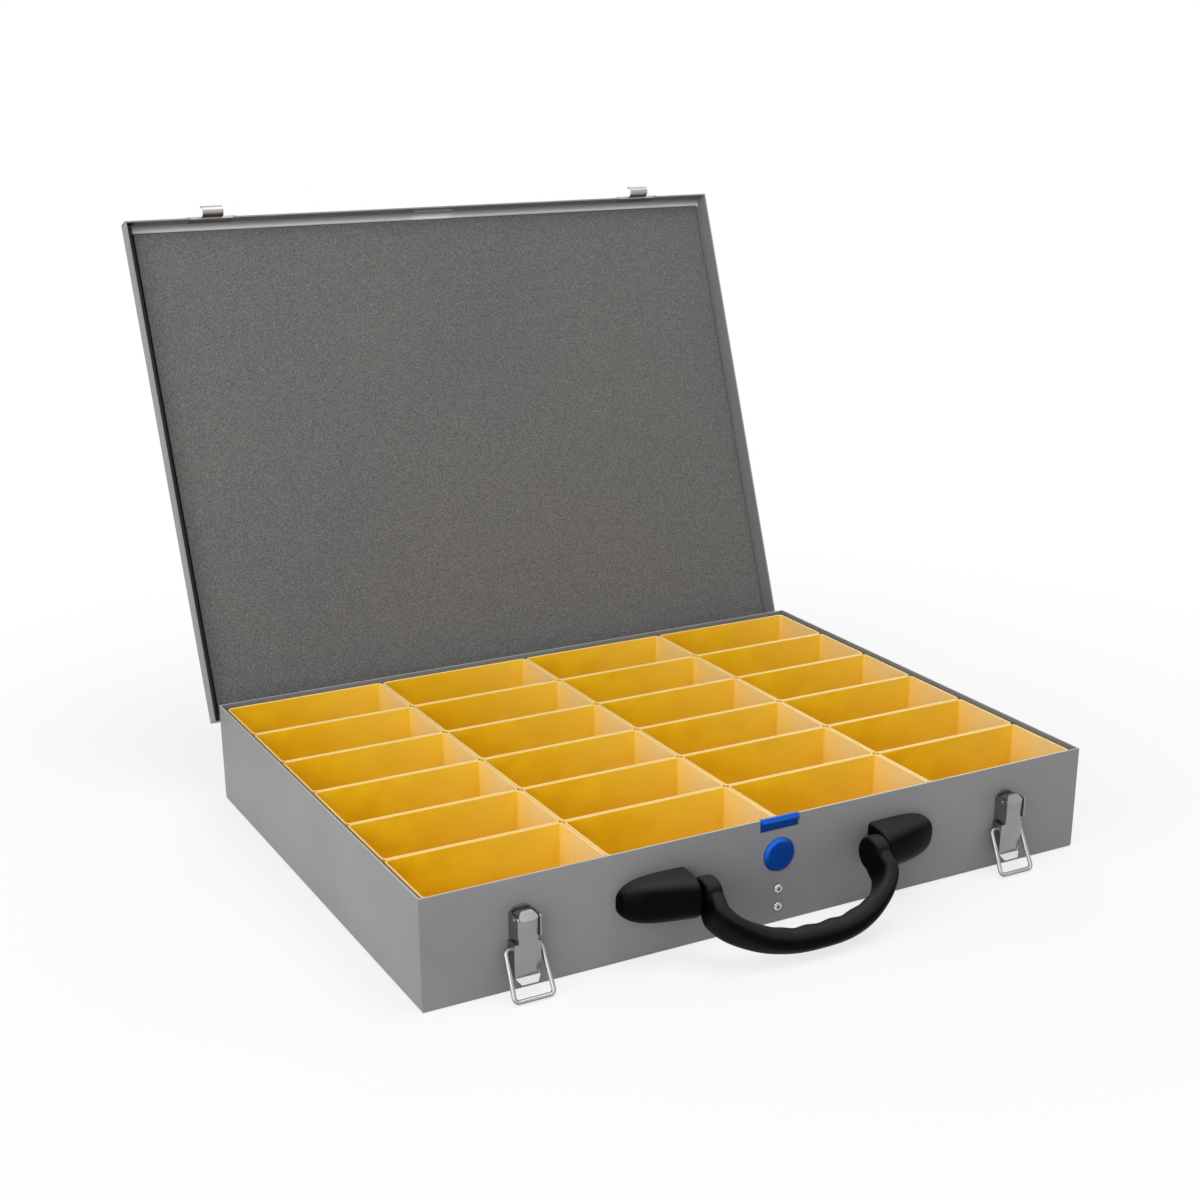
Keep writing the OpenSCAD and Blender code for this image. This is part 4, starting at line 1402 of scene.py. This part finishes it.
    def pin(self, side: Side) -> bpy.types.Object:
        """Builds one of the pins that the grip turns on."""
        name, node = f"grip_pin_{side.word}", f"handle_pin_{side.word}"
        return self.finishes.fit_copy(name, node, "case", Slot.BRIGHT, self.pin_round)

    def build(self) -> list[bpy.types.Object]:
        """Builds the housings, the grip and their pins."""
        housings = [self.housing(side) for side in Side]
        return [*housings, self.grip(), *(self.pin(side) for side in Side)]


def melted(piece: bpy.types.Object, cell: float, smoothing: int) -> None:
    """Remeshes a piece of crossing shells into one skin and smooths it.

    Args:
        piece: Piece to remesh.
        cell: Size of a voxel in millimetres.
        smoothing: Rounds of smoothing.
    """
    remesh = piece.modifiers.new("skin", "REMESH")
    remesh.mode = "VOXEL"
    remesh.voxel_size = cell * MM
    smooth = piece.modifiers.new("soften", "SMOOTH")
    smooth.factor = 0.5
    smooth.iterations = smoothing
    graph = bpy.context.evaluated_depsgraph_get()
    final = bpy.data.meshes.new_from_object(piece.evaluated_get(graph))
    piece.modifiers.clear()
    piece.data = final
    piece.data.shade_smooth()


@dataclass
class ToggleLatch:
    """One over-centre latch: bracket, channel lever, wire bail and pivot pin, with its catch."""

    finishes: FinishSet
    side: Side
    x: float = 162.7
    front: float = -165.0
    bail_out: float = 3.0
    bail_z: float = 26.7
    wire_d: float = 2.6
    bail_l: float = 28.0
    bail_w: float = 23.2
    bend: float = 1.4
    flange: float = 7.9
    end: float = 5.9
    lean: float = 28.2
    stub: float = 0.6
    sides: int = 28
    crease: float = 60.0
    lip_z: float = 13.0
    lip_slant: float = 0.3
    lever_round: float = 0.25

    def bail_path(self) -> np.ndarray:
        """Centreline of the wire: from one bent-in end round the loop to the other.

        The legs are splayed. The corners are arcs: the upper one turns by a right angle less the
        splay, the lower one by a right angle and the splay. The left half is the right half
        mirrored.
        """
        turn = self.bend + self.wire_d / 2
        high_x, low_x = self.flange + 0.1, self.bail_w / 2 - turn
        splay = np.arctan2(low_x - high_x, self.bail_l - 2 * turn)
        upper = np.linspace(np.pi / 2, splay, 12)
        lower = np.linspace(splay, -np.pi / 2, 14)
        top = np.stack([high_x + turn * np.cos(upper), -turn + turn * np.sin(upper)], axis=-1)
        foot = turn - self.bail_l
        low = np.stack([low_x + turn * np.cos(lower), foot + turn * np.sin(lower)], axis=-1)
        start = np.array([[self.end, 0.0], [self.end + self.stub, 0.0]])
        bar = np.array([[low_x - 1.0, -self.bail_l]])
        right = np.concatenate([start, top, low, bar])
        left = right[::-1] * np.array([-1.0, 1.0])
        flat = np.concatenate([right, left])
        return np.stack([flat[:, 0], np.zeros(len(flat)), flat[:, 1]], axis=-1)

    def bail(self) -> bpy.types.Object:
        """Builds the wire bail, leaned out about its pivot."""
        word = self.side.word
        skin = swept(self.bail_path(), self.wire_d / 2, self.sides)
        pivot = np.array([self.x * self.side.value, self.front - self.bail_out, self.bail_z])
        points = turned(skin.reshape(-1, 3), -self.lean, 0.0, 0.0) + pivot
        piece = mesh_piece(f"wire_bail_{word}", points, skin_faces(*skin.shape[:2]))
        sharpen(piece, self.crease)
        return self.finishes.fit(piece, f"latch_bail_{word}", f"bail_{word}", Slot.BRIGHT)

    def lever(self) -> bpy.types.Object:
        """Builds the lever, with its finger lip marked for a painted highlight where it faces up
        and forward.
        """
        word = self.side.word
        node = f"latch_lever_{word}"
        piece = copied(f"channel_lever_{word}", node, self.lever_round, segments=3)
        sides = face_sides(piece)
        # Faces of the finger lip turned up and forward get a painted highlight.
        low = face_middles(piece)[:, 2] < self.lip_z
        lip = low & (sides[:, 1] < -self.lip_slant) & (sides[:, 2] > self.lip_slant)
        mark_faces(piece, Mark.RUBBED, lip)
        return self.finishes.fit(piece, node, f"lever_{word}", Slot.LATCH)

    def build(self) -> list[bpy.types.Object]:
        """Builds the latch's pieces and dresses them."""
        word = self.side.word
        made = [self.bail(), self.lever()]
        for name, node, body, slot, width in (
            ("eared_bracket", "latch_bracket", "case", Slot.LATCH, 0.2),
            ("lever_pin", "latch_pin", "case", Slot.BRIGHT, 0.15),
            ("hooked_catch", "lid_catch", "lid", Slot.BRIGHT, 0.2),
        ):
            names = f"{name}_{word}", f"{node}_{word}"
            made.append(self.finishes.fit_copy(*names, body, slot, width))
        return made


@dataclass
class CentreLock:
    """Moulded foot, springy tongue with button and hook, and two blind rivets."""

    finishes: FinishSet
    front: float = -165.0
    rivet_z: tuple[float, float] = (10.3, 21.6)
    dome_r: float = 2.85
    dome_h: float = 1.2
    core_r: float = 0.95
    sheet: float = 1.0
    leaf: float = 1.0
    shank_r: float = 1.5
    bulb_r: float = 2.2
    mandrel_r: float = 0.45
    well: float = 0.3
    dome_edge: float = 0.12
    sides: int = 40
    crease: float = 45.0
    button_top: float = 55.0
    slant: tuple[float, float] = (-0.95, -0.3)
    # Direction towards which the button's slope gets its painted highlight.
    up_left: tuple[float, float, float] = (-0.5, 0.0, 0.87)
    slope_from: float = 0.1
    slope_span: float = 0.3
    slope_most: float = 0.9
    foot_round: float = 0.2
    tongue_round: float = 0.3

    def rivet_profile(self) -> np.ndarray:
        """Section of a blind rivet as (radius, height out of the wall), round a closed loop.

        The head is a low dome, the middle is a hollow that ends on the broken mandrel, and the
        shank runs through the wall to a rounded bulb.
        """
        a = np.linspace(0.0, np.pi / 2, 9)
        span = self.dome_r - self.core_r - 0.15
        out, up = self.core_r + 0.15 + span * np.cos(a), 0.25 + (self.dome_h - 0.35) * np.sin(a)
        dome = np.stack([out, up], axis=-1)
        back = -self.sheet - self.leaf
        foot = [[self.dome_r - 0.1, 0.0], [self.dome_r, 0.12]]
        hollow = [[self.core_r, self.dome_h - 0.25], [self.core_r, 0.3], [0.62, 0.22], [0.55, 0.55]]
        mandrel = [[0.4, 0.7], [0.0, 0.74]]
        bulb = [
            [0.0, back - 0.8],
            [self.bulb_r * 0.6, back - 0.78],
            [self.bulb_r, back - 0.45],
            [self.bulb_r, back - 0.12],
            [self.shank_r, back],
            [self.shank_r, 0.0],
        ]
        return np.array([*bulb, *foot, *dome.tolist(), *hollow, *mandrel])

    def rivets(self) -> bpy.types.Object:
        """Builds both blind rivets as one piece, with painted shade in their hollows and round each
        dome's edge, and a painted highlight on the rest.
        """
        profile, out = self.rivet_profile(), Vector((0.0, -1.0, 0.0))
        feet = [(0.0, self.front, z) for z in self.rivet_z]
        skins = [revolved(profile, foot, out, self.sides) for foot in feet]
        piece = mesh_piece("blind_rivets", *joined(skins, ring_faces))
        sharpen(piece, self.crease)
        middles = face_middles(piece)
        lower, upper = self.rivet_z
        height = np.where(middles[:, 2] < (lower + upper) / 2, lower, upper)
        radius = np.hypot(middles[:, 0], middles[:, 2] - height)
        # Painted shade in the hollow round the mandrel and along the dome's outer edge; the rest
        # gets a painted highlight.
        well = (radius > self.mandrel_r) & (radius < self.core_r + self.well)
        dark = well | (radius > self.dome_r - self.dome_edge)
        mark_faces(piece, Mark.HOLLOW, dark)
        mark_faces(piece, Mark.RUBBED, ~dark)
        return self.finishes.fit(piece, "lock_rivets", "case", Slot.BRIGHT)

    def tongue(self) -> bpy.types.Object:
        """Builds the tongue, with a painted highlight on the slope round its button, most where it
        faces up and left.
        """
        piece = copied("lock_push_tongue", "lock_tongue", self.tongue_round, segments=3)
        sides, low = face_sides(piece), face_middles(piece)[:, 2] < self.button_top
        slanted = low & (sides[:, 1] > self.slant[0]) & (sides[:, 1] < self.slant[1])
        # Painted highlight, stronger the more a face turns up and left.
        rise = sides @ np.array(self.up_left)
        share = np.clip((rise - self.slope_from) / self.slope_span, 0.0, self.slope_most)
        mark_faces(piece, Mark.SLOPE, slanted * share)
        return self.finishes.fit(piece, "lock_tongue", "lock", Slot.BLUE)

    def build(self) -> list[bpy.types.Object]:
        """Builds the lock's pieces and dresses them."""
        foot = "lock_foot_plate", "lock_foot", "case"
        plate = self.finishes.fit_copy(*foot, Slot.BLUE, self.foot_round)
        return [plate, self.tongue(), self.rivets()]


@dataclass
class Hinge:
    """One butt hinge: two leaves and a pin."""

    finishes: FinishSet
    side: Side
    edge_round: float = 0.15

    def build(self) -> list[bpy.types.Object]:
        """Builds the leaves and the pin with rounded edges."""
        made = []
        for part, body, slot in (
            ("base_leaf", "case", Slot.PAINT),
            ("lid_leaf", "lid", Slot.PAINT),
            ("pin", "case", Slot.BRIGHT),
        ):
            place = f"{part}_{self.side.word}"
            names = f"butt_{place}", f"hinge_{place}"
            made.append(self.finishes.fit_copy(*names, body, slot, self.edge_round))
        return made


@dataclass
class Rivets:
    """The set rivets of the latches and the handle."""

    finishes: FinishSet
    head_round: float = 0.25

    def build(self) -> list[bpy.types.Object]:
        """Builds the rivets with rounded heads."""
        made = []
        for row in ("latch", "handle"):
            names = f"{row}_set_rivets", f"{row}_rivets"
            fitted = self.finishes.fit_copy(*names, "case", Slot.BRIGHT, self.head_round)
            made.append(fitted)
        return made


# Studio


@dataclass(frozen=True)
class Lamp:
    """One soft rectangular lamp aimed at the case."""

    name: str
    place: tuple[float, float, float]
    size: float
    power: float
    aim: tuple[float, float, float] = (0.0, 0.0, 0.08)

    def build(self) -> None:
        """Adds the lamp."""
        data = bpy.data.lights.new(self.name, "AREA")
        data.shape = "SQUARE"
        data.size = self.size
        data.energy = self.power
        lamp = linked(self.name, data)
        direction = Vector(self.aim) - Vector(self.place)
        lamp.rotation_euler = direction.to_track_quat("-Z", "Y").to_euler()
        lamp.location = self.place


@dataclass
class Studio:
    """Camera, lamps, white world and pale floor."""

    eye: tuple[float, float, float] = (-0.54447, -0.96724, 0.48421)
    forward: tuple[float, float, float] = (0.45469, 0.82092, -0.34548)
    right: tuple[float, float, float] = (0.87495, -0.48421, 0.00096)
    lens: float = 56.086
    shift_x: float = -0.02034
    shift_y: float = 0.09325
    ambient: float = 0.40
    floor_glow: float = 0.74
    glow_near: float = 0.28
    glow_far: float = 0.72
    floor_half: float = 12.0
    floor_low: Colour = (0.84, 0.84, 0.84)
    floor_high: Colour = (0.86, 0.86, 0.86)
    mottle_scale: float = 3.0

    def camera(self) -> None:
        """Adds the camera where the photograph was taken from."""
        data = bpy.data.cameras.new("camera")
        data.lens = self.lens
        data.shift_x, data.shift_y = self.shift_x, self.shift_y
        data.clip_start, data.clip_end = 0.01, 50.0
        camera = linked("camera", data)
        ahead = Vector(self.forward).normalized()
        right = Vector(self.right)
        right = (right - right.dot(ahead) * ahead).normalized()
        up = right.cross(ahead)
        turn = Matrix((right, up, -ahead)).transposed()
        camera.matrix_world = Matrix.Translation(Vector(self.eye)) @ turn.to_4x4()
        bpy.context.scene.camera = camera

    def world(self) -> None:
        """White for the camera, mirrors and glass, and a lower even light for everything else."""
        tree = Shader(bpy.data.worlds.new("white_room"), "ShaderNodeOutputWorld")
        ends = {"Value": tree.unlit(), "To Min": self.ambient, "To Max": 1.0}
        strength = tree.add("ShaderNodeMapRange", {}, ends)("Result")
        look = {"Color": (*WHITE, 1.0), "Strength": strength}
        light = tree.add("ShaderNodeBackground", {}, look)
        bpy.context.scene.world = tree.closed(light("Background"))

    def floor(self) -> None:
        """Pale floor that keeps the soft shadow of the case and turns white further out."""
        tree = Shader.of_material("pale_floor")
        place = tree.place()
        distance = tree.add("ShaderNodeVectorMath", {"operation": "LENGTH"}, {0: place})("Value")
        mottle = tree.noise(place, self.mottle_scale)
        tone = tree.mix(mottle, self.floor_low, self.floor_high)
        matt = tree.add("ShaderNodeBsdfDiffuse", {}, {"Color": tone})("BSDF")
        glow = tree.add("ShaderNodeEmission", {}, {"Color": (*WHITE, 1.0), "Strength": 1.0})
        far = distance.ramp(self.glow_near, self.glow_far)
        share = tree.unlit() * far.lifted(self.floor_glow)
        sorts = {0: share, 1: matt, 2: glow("Emission")}
        mixed = tree.add("ShaderNodeMixShader", {}, sorts)("Shader")
        h = self.floor_half
        mesh = bpy.data.meshes.new("floor")
        corners = [(-h, -h, 0.0), (h, -h, 0.0), (h, h, 0.0), (-h, h, 0.0)]
        mesh.from_pydata(corners, [], [(0, 1, 2, 3)])
        mesh.materials.append(tree.closed(mixed))
        plane = linked("floor", mesh)

    def build(self) -> None:
        """Sets the camera, the colour view and all lights."""
        bpy.context.scene.view_settings.view_transform = "Standard"
        self.camera()
        self.world()
        self.floor()
        for lamp in (
            Lamp("left_lamp", place=(-2.1, -0.3, 1.3), size=1.6, power=13.0),
            Lamp("front_lamp", place=(-1.2, -0.95, 0.55), size=1.7, power=16.2),
            Lamp("top_lamp", place=(0.5, -0.5, 2.4), size=1.6, power=23.0),
            Lamp("back_lamp", place=(1.3, 2.1, 1.2), size=1.6, power=11.0),
        ):
            lamp.build()


def main() -> None:
    """Builds every sub-assembly in order and reports its pieces."""
    logging.basicConfig(level=logging.INFO)
    finishes = FinishSet.make()
    Studio().build()
    made: list[bpy.types.Object] = []
    made += SheetWork(finishes).build()
    made.append(FoamLiner(finishes).build())
    made += BinGrid(finishes).build()
    made += Handle(finishes).build()
    for side in Side:
        made += ToggleLatch(finishes, side).build()
        made += Hinge(finishes, side).build()
    made += CentreLock(finishes).build()
    made += Rivets(finishes).build()
    for piece in made:
        LOG.info("%s: %d faces", piece.name, len(piece.data.polygons))


if __name__ == "__main__":
    main()
